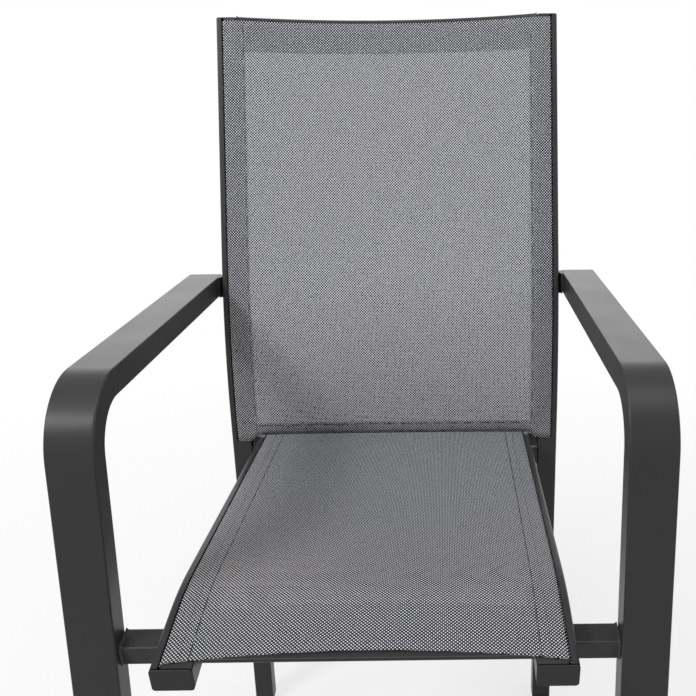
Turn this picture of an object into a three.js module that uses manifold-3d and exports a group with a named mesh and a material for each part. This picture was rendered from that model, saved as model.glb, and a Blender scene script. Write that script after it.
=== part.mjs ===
// High-back sling patio chair: a powder-coated aluminium frame with two stretched slings.
// Millimetres, +Z up, the chair faces -Y, X = 0 is its plane of symmetry.
// Side views are drawn in the Y-Z plane from a datum: Y = 0 is the front face of the rear leg.

import * as THREE from 'three';
import { mergeVertices } from 'three/addons/utils/BufferGeometryUtils.js';
import Module from 'manifold-3d';

// Driving dimensions
const CHAIR_HEIGHT = 1013; // floor to the top of the back posts
const SEAT_HEIGHT = 468; // floor to the crest of the seat rails
const BACK_HALF_WIDTH = 229; // centre plane to the outer face of a back post
const RAIL_GAP = 13; // between a back post and the seat rail inside it
const ARM_HEIGHT = 675; // floor to the armrest's top at its rear end
const CLEARANCE = 0.3; // between two pieces that touch
const OVERRUN = 5; // how far a cutter runs past what it cuts

// Back post and rear leg, one bent extrusion
const POST_WIDTH = 27;
const POST_DEPTH = 25;
const POST_CORNER = 2.5;
const POST_WALL = 2;
const POST_CHAMBER_WIDTH = 10;
const POST_BEND_START = 480; // height at which the straight leg starts to bend back
const POST_BEND_RADIUS = 850;
const POST_RECLINE = THREE.MathUtils.degToRad(15.5);
const POST_CAP_THICKNESS = 2;

// Groove that holds a sling edge, the same in the posts and in the seat rails
const GROOVE_INSET = 8.5; // outer face of the rail to the middle of the slot
const SLOT_WIDTH = 3;
const CAVITY_DEPTH = 6; // rail face to the middle of the round cavity
const CAVITY_RADIUS = 3.9;

// Sling fabric and the rods in its hems
const FABRIC = 1;
const SPLINE_RADIUS = 2.1;
const HEM_TURN = THREE.MathUtils.degToRad(300); // how far the hem wraps round its rod
const BACK_SLING_OVERLAP = 11; // crest of the seat to the lower edge of the back sling
const BACK_SLING_CORNER_DROP = 8; // the corners hang lower than the middle
const BACK_SLING_DROP_WIDTH = 50; // how far in from the groove that drop starts
const BACK_SLING_TOP_MARGIN = 4; // top bar left showing above the fabric
const BACK_BOW_TOP = 22; // the middle lies behind the posts' faces
const BACK_BOW_BOTTOM = 3;
const SEAT_SAG = 6;
const SEAT_SLING_SETBACK = 4; // front end of the rail to the fabric in its groove
const SEAT_FRONT_SCOOP = 13; // the front edge lies further back at the middle

// Seat rail extrusion
const RAIL_WIDTH = 38;
const RAIL_HEIGHT = 25;
const RAIL_CORNER = 2.5;
const RAIL_WALL = 2;
const RAIL_REACH_FRONT = 508; // datum to the front end of the extrusion
const RAIL_REACH_REAR = 26; // datum to its rear end
const RAIL_TILT = THREE.MathUtils.degToRad(2.4); // rises towards the front
const RAIL_BEND_RADIUS = 290;
const RAIL_NOSE_LENGTH = 65; // straight stretch in front of the bend
const RAIL_NOSE_TILT = THREE.MathUtils.degToRad(11); // falls towards the front
const RAIL_CAP_THICKNESS = 3;
const CAP_STEM = 8;
const CAP_STEM_WALL = 1.6;

// Spreader bars between the seat rails
const SPREADER_DEPTH = 24;
const SPREADER_HEIGHT = 10;
const SPREADER_CORNER = 3;
const SPREADER_DROP = 1.3; // rail's top face to the bar's top
const SPREADER_SETBACK = 18; // front end of the rail to the front bar
const REAR_SPREADER_SETBACK = 4; // rear end of the rail to the rear bar

// Bar across the top of the back
const TOP_BAR_HEIGHT = 38;
const TOP_BAR_DEPTH = 15;
const TOP_BAR_EDGE = 2;
const TOP_BAR_RECESS = 0.6; // behind the posts' front faces at its ends

// Armrest and front leg, one bent tube
const ARM_WIDTH = 45;
const ARM_THICKNESS = 27.5;
const ARM_CORNER = 2;
const ARM_WALL = 2;
const ARM_RISE = THREE.MathUtils.degToRad(1.3); // rises towards the front
const ARM_BEND_RADIUS = 72; // outside of the bend
const FRONT_LEG_RAKE = THREE.MathUtils.degToRad(4);
const FRONT_LEG_SETBACK = 47; // rail's front end to the leg's front face at seat height
const ARM_END_PLATE = 2;

// Lug between the armrest and the post
const LUG_LENGTH = 6; // from the post's outer face to the armrest's inner face
const LUG_TAPER = 14; // its front face falls back this far towards the post
const LUG_FILLET = 5;

// Lug between a seat rail and the post beside it
const SEAT_LUG_SETBACK = 4; // post's front face to the lug's front
const SEAT_LUG_DEPTH = 16;
const SEAT_LUG_HEIGHT = 19;
const SEAT_LUG_DROP = 3; // rail's top face to the lug's top
const SEAT_LUG_EDGE = 2;

// Crossbars under the seat rails
const FRONT_CROSSBAR_DEPTH = 26;
const REAR_CROSSBAR_DEPTH = 20;
const CROSSBAR_HEIGHT = 22;
const CROSSBAR_WALL = 2;
const CROSSBAR_CORNER = 3;

// Foot glides
const GLIDE_HEIGHT = 8;
const GLIDE_STEM = 22;
const GLIDE_SOLE_INSET = 1.5;

// Button-head bolts that hold the seat rails on the crossbars
const BOLT_RADIUS = 3;
const BOLT_HEAD_RADIUS = 5.5;
const BOLT_HEAD_HEIGHT = 3.3;
const BOLT_TIP = 3; // how far a bolt runs past its nut
const SOCKET_RADIUS = 2;
const SOCKET_DEPTH = 2;
const NUT_RADIUS = 5;
const NUT_HEIGHT = 5;

// Facets
const BEND_STEP = THREE.MathUtils.degToRad(2.6);
const TIGHT_BEND_STEP = THREE.MathUtils.degToRad(12);
const CORNER_FACETS = 3;
const CAVITY_FACETS = 9;
const HEM_FACETS = 7;
const ROD_FACETS = 8;
const ROUND_FACETS = 20;
const SLING_RING_SPACING = 55;
const SLING_COLUMNS = 12;
const TOP_BAR_FACETS = 20;

const wasm = await Module();
wasm.setup();

// Finishes
const aluminium = (name) => new THREE.MeshStandardMaterial({ name, color: 0x3a3a3c, roughness: 0.45, metalness: 0.3 });
const finishes = {
  frame: () => aluminium('powder_coat'),
  sling: () => new THREE.MeshStandardMaterial({ name: 'sling_fabric', color: 0x74777b, roughness: 0.8, metalness: 0 }),
  plastic: () => new THREE.MeshStandardMaterial({ name: 'black_plastic', color: 0x1b1b1c, roughness: 0.6, metalness: 0 }),
  steel: () => new THREE.MeshStandardMaterial({ name: 'stainless_steel', color: 0xb9bab8, roughness: 0.3, metalness: 1 }),
};

// A line in the Y-Z plane made of straights and arcs. Angles are headings from +Y towards +Z.
class SideProfile {
  constructor(y, z, heading) {
    this.pieces = [];
    this.end = { y, z, heading };
    this.length = 0;
  }

  straight(length) {
    return this.#add({ length, bend: 0 });
  }

  arc(radius, bend, step) {
    return this.#add({ length: radius * Math.abs(bend), bend, step });
  }

  #add(piece) {
    const placed = { ...piece, from: this.length, start: this.end };
    this.pieces.push(placed);
    this.length += piece.length;
    this.end = this.#inside(placed, piece.length);
    return this;
  }

  #inside(piece, distance) {
    const { y, z, heading } = piece.start;
    if (piece.bend === 0) {
      return { y: y + distance * Math.cos(heading), z: z + distance * Math.sin(heading), heading };
    }
    const turned = (piece.bend * distance) / piece.length;
    const radius = piece.length / piece.bend;
    return {
      y: y + radius * (Math.sin(heading + turned) - Math.sin(heading)),
      z: z - radius * (Math.cos(heading + turned) - Math.cos(heading)),
      heading: heading + turned,
    };
  }

  at(distance) {
    const piece = this.pieces.findLast((one) => distance >= one.from) ?? this.pieces[0];
    return this.#inside(piece, distance - piece.from);
  }

  // Distances at which a sweep between two places needs a ring, none further apart than longest
  stations(from = 0, to = this.length, longest = this.length) {
    const marks = [from, to];
    for (const piece of this.pieces) {
      const bends = piece.bend === 0 ? 1 : Math.ceil(Math.abs(piece.bend) / piece.step);
      const count = Math.max(bends, Math.ceil(piece.length / longest));
      for (let i = 0; i <= count; i++) marks.push(piece.from + (piece.length * i) / count);
    }
    const inRange = marks.filter((mark) => mark >= from && mark <= to).sort((a, b) => a - b);
    const closest = (to - from) / 1e4;
    return inRange.filter((mark, i) => i === 0 || mark - inRange[i - 1] > closest);
  }

  distanceAtHeight(height) {
    let [low, high] = [0, this.length];
    for (let i = 0; i < 60; i++) {
      const middle = (low + high) / 2;
      if (this.at(middle).z < height) low = middle;
      else high = middle;
    }
    return low;
  }
}

// The profile as a three.js curve with one ring at each station
class SweepPath extends THREE.Curve {
  constructor(profile, from, to) {
    super();
    this.rings = profile.stations(from, to).map((distance) => profile.at(distance));
  }

  get steps() {
    return this.rings.length - 1;
  }

  getPointAt(u, target = new THREE.Vector3()) {
    const ring = this.rings[Math.round(u * this.steps)];
    return target.set(0, ring.y, ring.z);
  }

  getTangentAt(u, target = new THREE.Vector3()) {
    const { heading } = this.rings[Math.round(u * this.steps)];
    return target.set(0, Math.cos(heading), Math.sin(heading));
  }
}

// Section points: x is the distance from the centre plane, y the height over the profile line
const sweep = (section, profile, from = 0, to = profile.length) => {
  const extrudePath = new SweepPath(profile, from, to);
  return new THREE.ExtrudeGeometry(section, { extrudePath, steps: extrudePath.steps });
};

const arcPoints = (x, y, radius, from, to, facets) =>
  Array.from({ length: facets + 1 }, (_, i) => {
    const angle = from + ((to - from) * i) / facets;
    return new THREE.Vector2(x + radius * Math.cos(angle), y + radius * Math.sin(angle));
  });

const QUARTER = Math.PI / 2;

// Rounded rectangle between two corners, with a keyhole groove in its top edge where asked
const roundedOutline = (left, bottom, right, top, corner, grooveAt = null) => [
  ...arcPoints(left + corner, bottom + corner, corner, 2 * QUARTER, 3 * QUARTER, CORNER_FACETS),
  ...arcPoints(right - corner, bottom + corner, corner, 3 * QUARTER, 4 * QUARTER, CORNER_FACETS),
  ...arcPoints(right - corner, top - corner, corner, 0, QUARTER, CORNER_FACETS),
  ...(grooveAt === null ? [] : grooveOutline(grooveAt, top)),
  ...arcPoints(left + corner, top - corner, corner, QUARTER, 2 * QUARTER, CORNER_FACETS),
];

const grooveOutline = (x, top) => {
  const mouth = Math.asin(SLOT_WIDTH / 2 / CAVITY_RADIUS);
  return [
    new THREE.Vector2(x + SLOT_WIDTH / 2, top),
    ...arcPoints(x, top - CAVITY_DEPTH, CAVITY_RADIUS, QUARTER - mouth, QUARTER + mouth - 4 * QUARTER, CAVITY_FACETS),
    new THREE.Vector2(x - SLOT_WIDTH / 2, top),
  ];
};

const hollow = (outline, chamber) => {
  const shape = new THREE.Shape(outline);
  shape.holes.push(new THREE.Path(chamber));
  return shape;
};

// Mirror image in the centre plane, with its faces still pointing out
const mirrored = (geometry) => {
  const copy = mergedPositions(geometry);
  const position = copy.getAttribute('position');
  for (let i = 0; i < position.count; i++) position.setX(i, -position.getX(i));
  const index = copy.getIndex();
  for (let i = 0; i < index.count; i += 3) {
    const second = index.getX(i + 1);
    index.setX(i + 1, index.getX(i + 2));
    index.setX(i + 2, second);
  }
  return copy;
};

const mergedPositions = (geometry) => {
  const bare = geometry.clone();
  for (const name of Object.keys(bare.attributes)) if (name !== 'position') bare.deleteAttribute(name);
  return mergeVertices(bare, CLEARANCE / 1000);
};

const solid = (geometry) => {
  const merged = mergedPositions(geometry);
  return new wasm.Manifold(
    new wasm.Mesh({
      numProp: 3,
      vertProperties: new Float32Array(merged.getAttribute('position').array),
      triVerts: new Uint32Array(merged.getIndex().array),
    }),
  );
};

const fromSolid = (body) => {
  const mesh = body.getMesh();
  const geometry = new THREE.BufferGeometry();
  geometry.setAttribute('position', new THREE.BufferAttribute(new Float32Array(mesh.vertProperties), 3));
  geometry.setIndex(new THREE.BufferAttribute(new Uint32Array(mesh.triVerts), 1));
  return geometry;
};

const joined = (...geometries) => fromSolid(geometries.map(solid).reduce((whole, one) => whole.add(one)));
const cut = (geometry, ...cutters) =>
  fromSolid(cutters.map(solid).reduce((whole, one) => whole.subtract(one), solid(geometry)));
const common = (first, second) => fromSolid(solid(first).intersect(solid(second)));

// A straight piece that carries on along the profile's direction at one place
const alongTangent = (section, place, from, to) => {
  const direction = { y: Math.cos(place.heading), z: Math.sin(place.heading) };
  const start = { y: place.y + from * direction.y, z: place.z + from * direction.z };
  const line = new SideProfile(start.y, start.z, place.heading).straight(to - from);
  return sweep(section, line);
};

// A bar across the chair, its section drawn in the frame of a profile at one place
const acrossChair = (section, place, halfLength) => {
  const geometry = new THREE.ExtrudeGeometry(section, { depth: 2 * halfLength, bevelEnabled: false });
  const along = new THREE.Vector3(0, Math.cos(place.heading), Math.sin(place.heading));
  const up = new THREE.Vector3(0, -Math.sin(place.heading), Math.cos(place.heading));
  const basis = new THREE.Matrix4().makeBasis(along, up, new THREE.Vector3(1, 0, 0));
  return geometry.applyMatrix4(basis.setPosition(-halfLength, place.y, place.z));
};

// A turned piece whose axis stands square to a profile, through a point of its frame
const squareToProfile = (geometry, place, x, height) => {
  const tilt = new THREE.Matrix4().makeRotationX(QUARTER + place.heading);
  const up = { y: -Math.sin(place.heading), z: Math.cos(place.heading) };
  return geometry.applyMatrix4(tilt.setPosition(x, place.y + height * up.y, place.z + height * up.z));
};

const turned = (...points) =>
  new THREE.LatheGeometry(points.map(([radius, height]) => new THREE.Vector2(radius, height)), ROUND_FACETS);

const disc = (radius, from, to) => turned([0, from], [radius, from], [radius, to], [0, to]);
const round = (x, y, radius, facets) => arcPoints(x, y, radius, 0, 4 * QUARTER, facets).slice(0, -1);

// Side profiles
const postTopHeight = CHAIR_HEIGHT - POST_CAP_THICKNESS * Math.cos(POST_RECLINE);
const bendRise = POST_BEND_RADIUS * Math.sin(POST_RECLINE);
const postProfile = new SideProfile(0, GLIDE_HEIGHT + CLEARANCE, QUARTER)
  .straight(POST_BEND_START - GLIDE_HEIGHT - CLEARANCE)
  .arc(POST_BEND_RADIUS, -POST_RECLINE, BEND_STEP)
  .straight((postTopHeight - POST_BEND_START - bendRise) / Math.cos(POST_RECLINE));
const postTop = postProfile.end;

// Seat rail's top face, drawn from its front end to its rear end
const railBend = RAIL_NOSE_TILT + RAIL_TILT;
const noseRise = RAIL_NOSE_LENGTH * Math.sin(RAIL_NOSE_TILT) + RAIL_BEND_RADIUS * (1 - Math.cos(RAIL_NOSE_TILT));
const frontRun =
  RAIL_NOSE_LENGTH * Math.cos(RAIL_NOSE_TILT) +
  RAIL_BEND_RADIUS * (Math.sin(RAIL_NOSE_TILT) + Math.sin(RAIL_TILT));
const railProfile = new SideProfile(-RAIL_REACH_FRONT, SEAT_HEIGHT - noseRise, RAIL_NOSE_TILT)
  .straight(RAIL_NOSE_LENGTH)
  .arc(RAIL_BEND_RADIUS, -railBend, BEND_STEP)
  .straight((RAIL_REACH_FRONT + RAIL_REACH_REAR - frontRun) / Math.cos(RAIL_TILT));

// Armrest's top face and the front leg's front face, drawn from the floor up and then back
const armFrontFace = -RAIL_REACH_FRONT + FRONT_LEG_SETBACK; // leg's front face at seat height
const legBottomHeight = GLIDE_HEIGHT + CLEARANCE;
const legBottomY = armFrontFace - (SEAT_HEIGHT - legBottomHeight) * Math.tan(FRONT_LEG_RAKE);
const armBend = QUARTER - FRONT_LEG_RAKE + ARM_RISE;
const postAtArm = postProfile.at(postProfile.distanceAtHeight(ARM_HEIGHT));
const armRearY = postAtArm.y + POST_DEPTH / Math.cos(QUARTER - postAtArm.heading) - ARM_END_PLATE;

// Leg length at which the arm's top face ends at ARM_HEIGHT over the post
const armLine = (() => {
  const bendEnd = new SideProfile(0, 0, QUARTER - FRONT_LEG_RAKE).arc(ARM_BEND_RADIUS, -armBend, TIGHT_BEND_STEP).end;
  const legRun = (legLength) => legBottomY + legLength * Math.sin(FRONT_LEG_RAKE) + bendEnd.y;
  const topHeight = (legLength) => {
    const rise = legLength * Math.cos(FRONT_LEG_RAKE) + bendEnd.z;
    return legBottomHeight + rise - (armRearY - legRun(legLength)) * Math.tan(ARM_RISE);
  };
  const slope = Math.cos(FRONT_LEG_RAKE) + Math.sin(FRONT_LEG_RAKE) * Math.tan(ARM_RISE);
  const legLength = (ARM_HEIGHT - topHeight(0)) / slope;
  return { legLength, armLength: (armRearY - legRun(legLength)) / Math.cos(ARM_RISE) };
})();
const armProfile = new SideProfile(legBottomY, legBottomHeight, QUARTER - FRONT_LEG_RAKE)
  .straight(armLine.legLength)
  .arc(ARM_BEND_RADIUS, -armBend, TIGHT_BEND_STEP)
  .straight(armLine.armLength);

// Places across the chair
const postInner = BACK_HALF_WIDTH - POST_WIDTH;
const postGroove = BACK_HALF_WIDTH - GROOVE_INSET;
const railOuter = postInner - RAIL_GAP;
const railInner = railOuter - RAIL_WIDTH;
const railGroove = railOuter - GROOVE_INSET;
const armInner = BACK_HALF_WIDTH + LUG_LENGTH;
const armOuter = armInner + ARM_WIDTH;

// Sections
const postOutline = roundedOutline(postInner, -POST_DEPTH, BACK_HALF_WIDTH, 0, POST_CORNER);
const postChamber = (play = 0) =>
  roundedOutline(
    postInner + POST_WALL + play,
    -POST_DEPTH + POST_WALL + play,
    postInner + POST_WALL + POST_CHAMBER_WIDTH - play,
    -POST_WALL - play,
    POST_CORNER / 2,
  );
const railOutline = (grooveAt) => roundedOutline(railInner, -RAIL_HEIGHT, railOuter, 0, RAIL_CORNER, grooveAt);
const railChamberRight = railGroove - CAVITY_RADIUS - RAIL_WALL;
const railChamber = (play = 0) =>
  roundedOutline(
    railInner + RAIL_WALL + play,
    -RAIL_HEIGHT + RAIL_WALL + play,
    railChamberRight - play,
    -RAIL_WALL - play,
    RAIL_CORNER / 2,
  );
const armOutline = roundedOutline(armInner, -ARM_THICKNESS, armOuter, 0, ARM_CORNER);
const armChamber = (play = 0) =>
  roundedOutline(
    armInner + ARM_WALL + play,
    -ARM_THICKNESS + ARM_WALL + play,
    armOuter - ARM_WALL - play,
    -ARM_WALL - play,
    ARM_CORNER / 2,
  );

// Where the slings run along their rails
const backSlingFrom = postProfile.distanceAtHeight(SEAT_HEIGHT - BACK_SLING_OVERLAP);
const backSlingTo = postProfile.length - BACK_SLING_TOP_MARGIN;

// Back post with the groove cut in the stretch that holds the sling
const post = () => {
  const tube = sweep(hollow(postOutline, postChamber()), postProfile);
  const mouth = roundedOutline(
    postGroove - SLOT_WIDTH / 2,
    -CAVITY_DEPTH,
    postGroove + SLOT_WIDTH / 2,
    OVERRUN,
    SLOT_WIDTH / 4,
  );
  const cavity = round(postGroove, -CAVITY_DEPTH, CAVITY_RADIUS, CAVITY_FACETS + 1);
  const grooveFrom = backSlingFrom - BACK_SLING_CORNER_DROP - CLEARANCE;
  const [slot, bore] = [mouth, cavity].map((outline) =>
    joined(
      sweep(new THREE.Shape(outline), postProfile, grooveFrom),
      alongTangent(new THREE.Shape(outline), postTop, -OVERRUN, OVERRUN),
    ),
  );
  return cut(tube, slot, bore);
};

const postCap = () => alongTangent(new THREE.Shape(postOutline), postTop, CLEARANCE, POST_CAP_THICKNESS);

// A glide: a sole under the tube and a stem that plugs into it
const glide = (outline, chamber, sole, profile) => {
  const foot = profile.at(0);
  const upright = { ...foot, z: 0, y: foot.y - (foot.z * Math.cos(foot.heading)) / Math.sin(foot.heading) };
  const pad = alongTangent(new THREE.Shape(outline), foot, -GLIDE_HEIGHT / 2, -CLEARANCE);
  const lower = alongTangent(new THREE.Shape(sole), foot, -2 * GLIDE_HEIGHT, -GLIDE_HEIGHT / 2 + CLEARANCE);
  const stem = alongTangent(new THREE.Shape(chamber), foot, -GLIDE_HEIGHT / 2, GLIDE_STEM);
  const reach = 4 * armOuter;
  const belowFloor = new THREE.BoxGeometry(reach, reach, reach).translate(0, upright.y, -reach / 2);
  return cut(joined(pad, lower, stem), belowFloor);
};

const rearGlide = () =>
  glide(
    postOutline,
    postChamber(CLEARANCE),
    roundedOutline(
      postInner + GLIDE_SOLE_INSET,
      -POST_DEPTH + GLIDE_SOLE_INSET,
      BACK_HALF_WIDTH - GLIDE_SOLE_INSET,
      -GLIDE_SOLE_INSET,
      POST_CORNER,
    ),
    postProfile,
  );

const frontGlide = () =>
  glide(
    armOutline,
    armChamber(CLEARANCE),
    roundedOutline(
      armInner + GLIDE_SOLE_INSET,
      -ARM_THICKNESS + GLIDE_SOLE_INSET,
      armOuter - GLIDE_SOLE_INSET,
      -GLIDE_SOLE_INSET,
      ARM_CORNER,
    ),
    armProfile,
  );

// Armrest and front leg
const armTube = () => sweep(hollow(armOutline, armChamber()), armProfile);
const armEndPlate = () => alongTangent(new THREE.Shape(armOutline), armProfile.end, CLEARANCE, ARM_END_PLATE);

// Lug: its section across the chair has a fillet against the post, its plan has a curved front
const armLug = () => {
  const gapWidth = LUG_LENGTH - 2 * CLEARANCE;
  const outer = armInner - CLEARANCE;
  const inner = BACK_HALF_WIDTH + CLEARANCE;
  const front = postAtArm.y;
  const rear = armRearY;
  const top = armProfile.end.z;
  const bottom = top - ARM_THICKNESS;
  const fillet = Math.min(LUG_FILLET, gapWidth);
  const elevation = new THREE.Shape([
    new THREE.Vector2(outer, top),
    new THREE.Vector2(inner, top),
    ...arcPoints(inner + fillet, bottom - fillet, fillet, 2 * QUARTER, QUARTER, CORNER_FACETS),
    new THREE.Vector2(outer, bottom),
  ]);
  const plan = new THREE.Shape([
    new THREE.Vector2(outer, rear),
    new THREE.Vector2(inner, rear),
    new THREE.Vector2(inner, front + LUG_TAPER),
    ...Array.from({ length: CORNER_FACETS }, (_, i) => {
      const share = (i + 1) / (CORNER_FACETS + 1);
      return new THREE.Vector2(inner + gapWidth * share, front + LUG_TAPER * (1 - Math.sin(QUARTER * share)));
    }),
    new THREE.Vector2(outer, front),
  ]);
  const block = new THREE.ExtrudeGeometry(elevation, { depth: rear - front, bevelEnabled: false });
  block.applyMatrix4(new THREE.Matrix4().makeRotationX(QUARTER).setPosition(0, rear, 0));
  const tall = 2 * (ARM_THICKNESS + LUG_FILLET);
  const column = new THREE.ExtrudeGeometry(plan, { depth: tall, bevelEnabled: false });
  column.translate(0, 0, top - tall + OVERRUN);
  return mirrored(common(block, column));
};

// Bar across the top of the back: its plan is a band bowed to the rear
const topBar = () => {
  const half = postInner - CLEARANCE;
  const bowed = (x, offset) => offset + BACK_BOW_TOP * (1 - (x / half) ** 2);
  const across = (offset, direction) =>
    Array.from({ length: TOP_BAR_FACETS + 1 }, (_, i) => {
      const x = direction * half * (1 - (2 * i) / TOP_BAR_FACETS);
      return new THREE.Vector2(x, bowed(x, offset));
    });
  const plan = new THREE.Shape([
    ...across(TOP_BAR_RECESS, -1),
    ...across(TOP_BAR_RECESS + TOP_BAR_DEPTH, 1),
  ]);
  const geometry = new THREE.ExtrudeGeometry(plan, {
    depth: TOP_BAR_HEIGHT - 2 * TOP_BAR_EDGE,
    bevelThickness: TOP_BAR_EDGE,
    bevelSize: TOP_BAR_EDGE,
    bevelOffset: -TOP_BAR_EDGE,
    bevelSegments: 2,
  });
  geometry.translate(0, 0, -TOP_BAR_HEIGHT + TOP_BAR_EDGE + POST_CAP_THICKNESS);
  return geometry.applyMatrix4(
    new THREE.Matrix4().makeRotationX(-POST_RECLINE).setPosition(0, postTop.y, postTop.z),
  );
};

// Crossbars lie under the rails, square to them
const frontCrossbarAt = railProfile.at(FRONT_LEG_SETBACK + FRONT_CROSSBAR_DEPTH / 2);
const rearCrossbarAt = railProfile.at(railProfile.length - RAIL_REACH_REAR + REAR_CROSSBAR_DEPTH / 2);
const railBow = FRONT_CROSSBAR_DEPTH ** 2 / (8 * (RAIL_BEND_RADIUS - RAIL_HEIGHT));
const crossbarDrop = -RAIL_HEIGHT - railBow - CLEARANCE;
const boltAt = (railInner + RAIL_WALL + railChamberRight) / 2;

const crossbar = (place, depth, reach) => {
  const outline = roundedOutline(-depth / 2, crossbarDrop - CROSSBAR_HEIGHT, depth / 2, crossbarDrop, CROSSBAR_CORNER);
  const chamber = roundedOutline(
    -depth / 2 + CROSSBAR_WALL,
    crossbarDrop - CROSSBAR_HEIGHT + CROSSBAR_WALL,
    depth / 2 - CROSSBAR_WALL,
    crossbarDrop - CROSSBAR_WALL,
    CROSSBAR_CORNER / 2,
  );
  const bar = acrossChair(hollow(outline, chamber), place, reach - CLEARANCE);
  return cut(bar, ...[-boltAt, boltAt].map((x) => boltHole(place, x)));
};

const boltHole = (place, x) =>
  squareToProfile(
    disc(BOLT_RADIUS + CLEARANCE, -CROSSBAR_HEIGHT - OVERRUN, RAIL_WALL + OVERRUN),
    place,
    x,
    crossbarDrop,
  );

const seatRail = () => {
  const tube = sweep(hollow(railOutline(railGroove), railChamber()), railProfile);
  return cut(tube, ...[frontCrossbarAt, rearCrossbarAt].map((place) => boltHole(place, -boltAt)));
};

// Lug that joins a seat rail to the post: a block along the rail
const seatLug = () => {
  const section = roundedOutline(
    railOuter + CLEARANCE,
    -SEAT_LUG_DROP - SEAT_LUG_HEIGHT,
    postInner - CLEARANCE,
    -SEAT_LUG_DROP,
    SEAT_LUG_EDGE,
  );
  const besidePost = railProfile.at(railProfile.length - RAIL_REACH_REAR);
  return alongTangent(
    new THREE.Shape(section),
    besidePost,
    SEAT_LUG_SETBACK,
    SEAT_LUG_SETBACK + SEAT_LUG_DEPTH,
  );
};

// End cap of a seat rail: a plate, and a hollow stem that plugs into the chamber
const railCap = (place, outward) => {
  const [near, far] = [outward * CLEARANCE, outward * RAIL_CAP_THICKNESS];
  const stemEnd = -outward * CAP_STEM;
  const span = (section, a, b) => alongTangent(section, place, Math.min(a, b), Math.max(a, b));
  const stem = hollow(railChamber(CLEARANCE), railChamber(CLEARANCE + CAP_STEM_WALL));
  return joined(span(new THREE.Shape(railOutline(null)), near, far), span(stem, stemEnd, (near + far) / 2));
};

// Spreader bars keep the two rails apart
const spreader = (distance) => {
  const outline = roundedOutline(
    -SPREADER_DEPTH / 2,
    -SPREADER_DROP - SPREADER_HEIGHT,
    SPREADER_DEPTH / 2,
    -SPREADER_DROP,
    SPREADER_CORNER,
  );
  const chamber = roundedOutline(
    -SPREADER_DEPTH / 2 + RAIL_WALL,
    -SPREADER_DROP - SPREADER_HEIGHT + RAIL_WALL,
    SPREADER_DEPTH / 2 - RAIL_WALL,
    -SPREADER_DROP - RAIL_WALL,
    SPREADER_CORNER / 2,
  );
  return acrossChair(hollow(outline, chamber), railProfile.at(distance), railInner - CLEARANCE);
};

// Bolt with a button head under the crossbar and a socket in the head
const bolt = (place, x) => {
  const headTop = crossbarDrop - CROSSBAR_HEIGHT - CLEARANCE;
  const headBottom = headTop - BOLT_HEAD_HEIGHT;
  const tip = -RAIL_HEIGHT + RAIL_WALL + CLEARANCE + NUT_HEIGHT + BOLT_TIP;
  const body = turned(
    [0, headBottom + SOCKET_DEPTH],
    [SOCKET_RADIUS, headBottom + SOCKET_DEPTH],
    [SOCKET_RADIUS, headBottom],
    [BOLT_HEAD_RADIUS / 2, headBottom],
    [BOLT_HEAD_RADIUS, headTop - BOLT_HEAD_HEIGHT / 3],
    [BOLT_HEAD_RADIUS, headTop],
    [BOLT_RADIUS, headTop],
    [BOLT_RADIUS, tip],
    [0, tip],
  );
  return squareToProfile(body, place, x, 0);
};

const nut = (place, x) => {
  const bottom = -RAIL_HEIGHT + RAIL_WALL + CLEARANCE;
  const bore = BOLT_RADIUS + CLEARANCE;
  const body = turned(
    [bore, bottom],
    [NUT_RADIUS, bottom],
    [NUT_RADIUS, bottom + NUT_HEIGHT],
    [bore, bottom + NUT_HEIGHT],
    [bore, bottom],
  );
  return squareToProfile(body, place, x, 0);
};

// Half of a sling's section, from its middle to the end of its hem: points over the rail's face.
// The hem runs down the slot and wraps round the rod in the cavity.
const hemPoints = (groove) => {
  const lie = CLEARANCE + FABRIC / 2;
  const wrap = SPLINE_RADIUS + CLEARANCE + FABRIC / 2;
  const bend = SLOT_WIDTH / 2;
  return [
    new THREE.Vector2(groove - bend, lie),
    new THREE.Vector2(groove - bend * (1 - Math.cos(QUARTER / 2)), lie - bend * (1 - Math.sin(QUARTER / 2))),
    new THREE.Vector2(groove, lie - bend),
    ...arcPoints(groove, -CAVITY_DEPTH, wrap, QUARTER, QUARTER - HEM_TURN, HEM_FACETS),
  ];
};

const slingCentreline = (groove, halfSpan) => {
  const lie = CLEARANCE + FABRIC / 2;
  const across = Array.from(
    { length: SLING_COLUMNS + 1 },
    (_, i) => new THREE.Vector2(halfSpan * ((2 * i) / SLING_COLUMNS - 1), lie),
  );
  const right = hemPoints(groove);
  const left = right.map((point) => new THREE.Vector2(-point.x, point.y)).reverse();
  return [...left, ...across, ...right];
};

// Both faces of a strip of the given thickness along a centreline, with mitred corners
const offsetFaces = (centreline, thickness) => {
  const side = (sign) =>
    centreline.map((point, i) => {
      const before = centreline[Math.max(i - 1, 0)];
      const after = centreline[Math.min(i + 1, centreline.length - 1)];
      const into = point.clone().sub(before).normalize();
      const out = after.clone().sub(point).normalize();
      const direction = into.clone().add(out).normalize();
      const mitre = Math.max(direction.dot(i === 0 ? out : into), Math.SQRT1_2);
      const normal = new THREE.Vector2(-direction.y, direction.x);
      return point.clone().addScaledVector(normal, (sign * thickness) / 2 / mitre);
    });
  return [...side(1), ...side(-1).reverse()];
};

// How much of the sag is felt between the edge of the free span and its middle
const freeSpan = (x, halfSpan) => (x >= halfSpan ? 0 : 1 - (x / halfSpan) ** 2);

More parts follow.
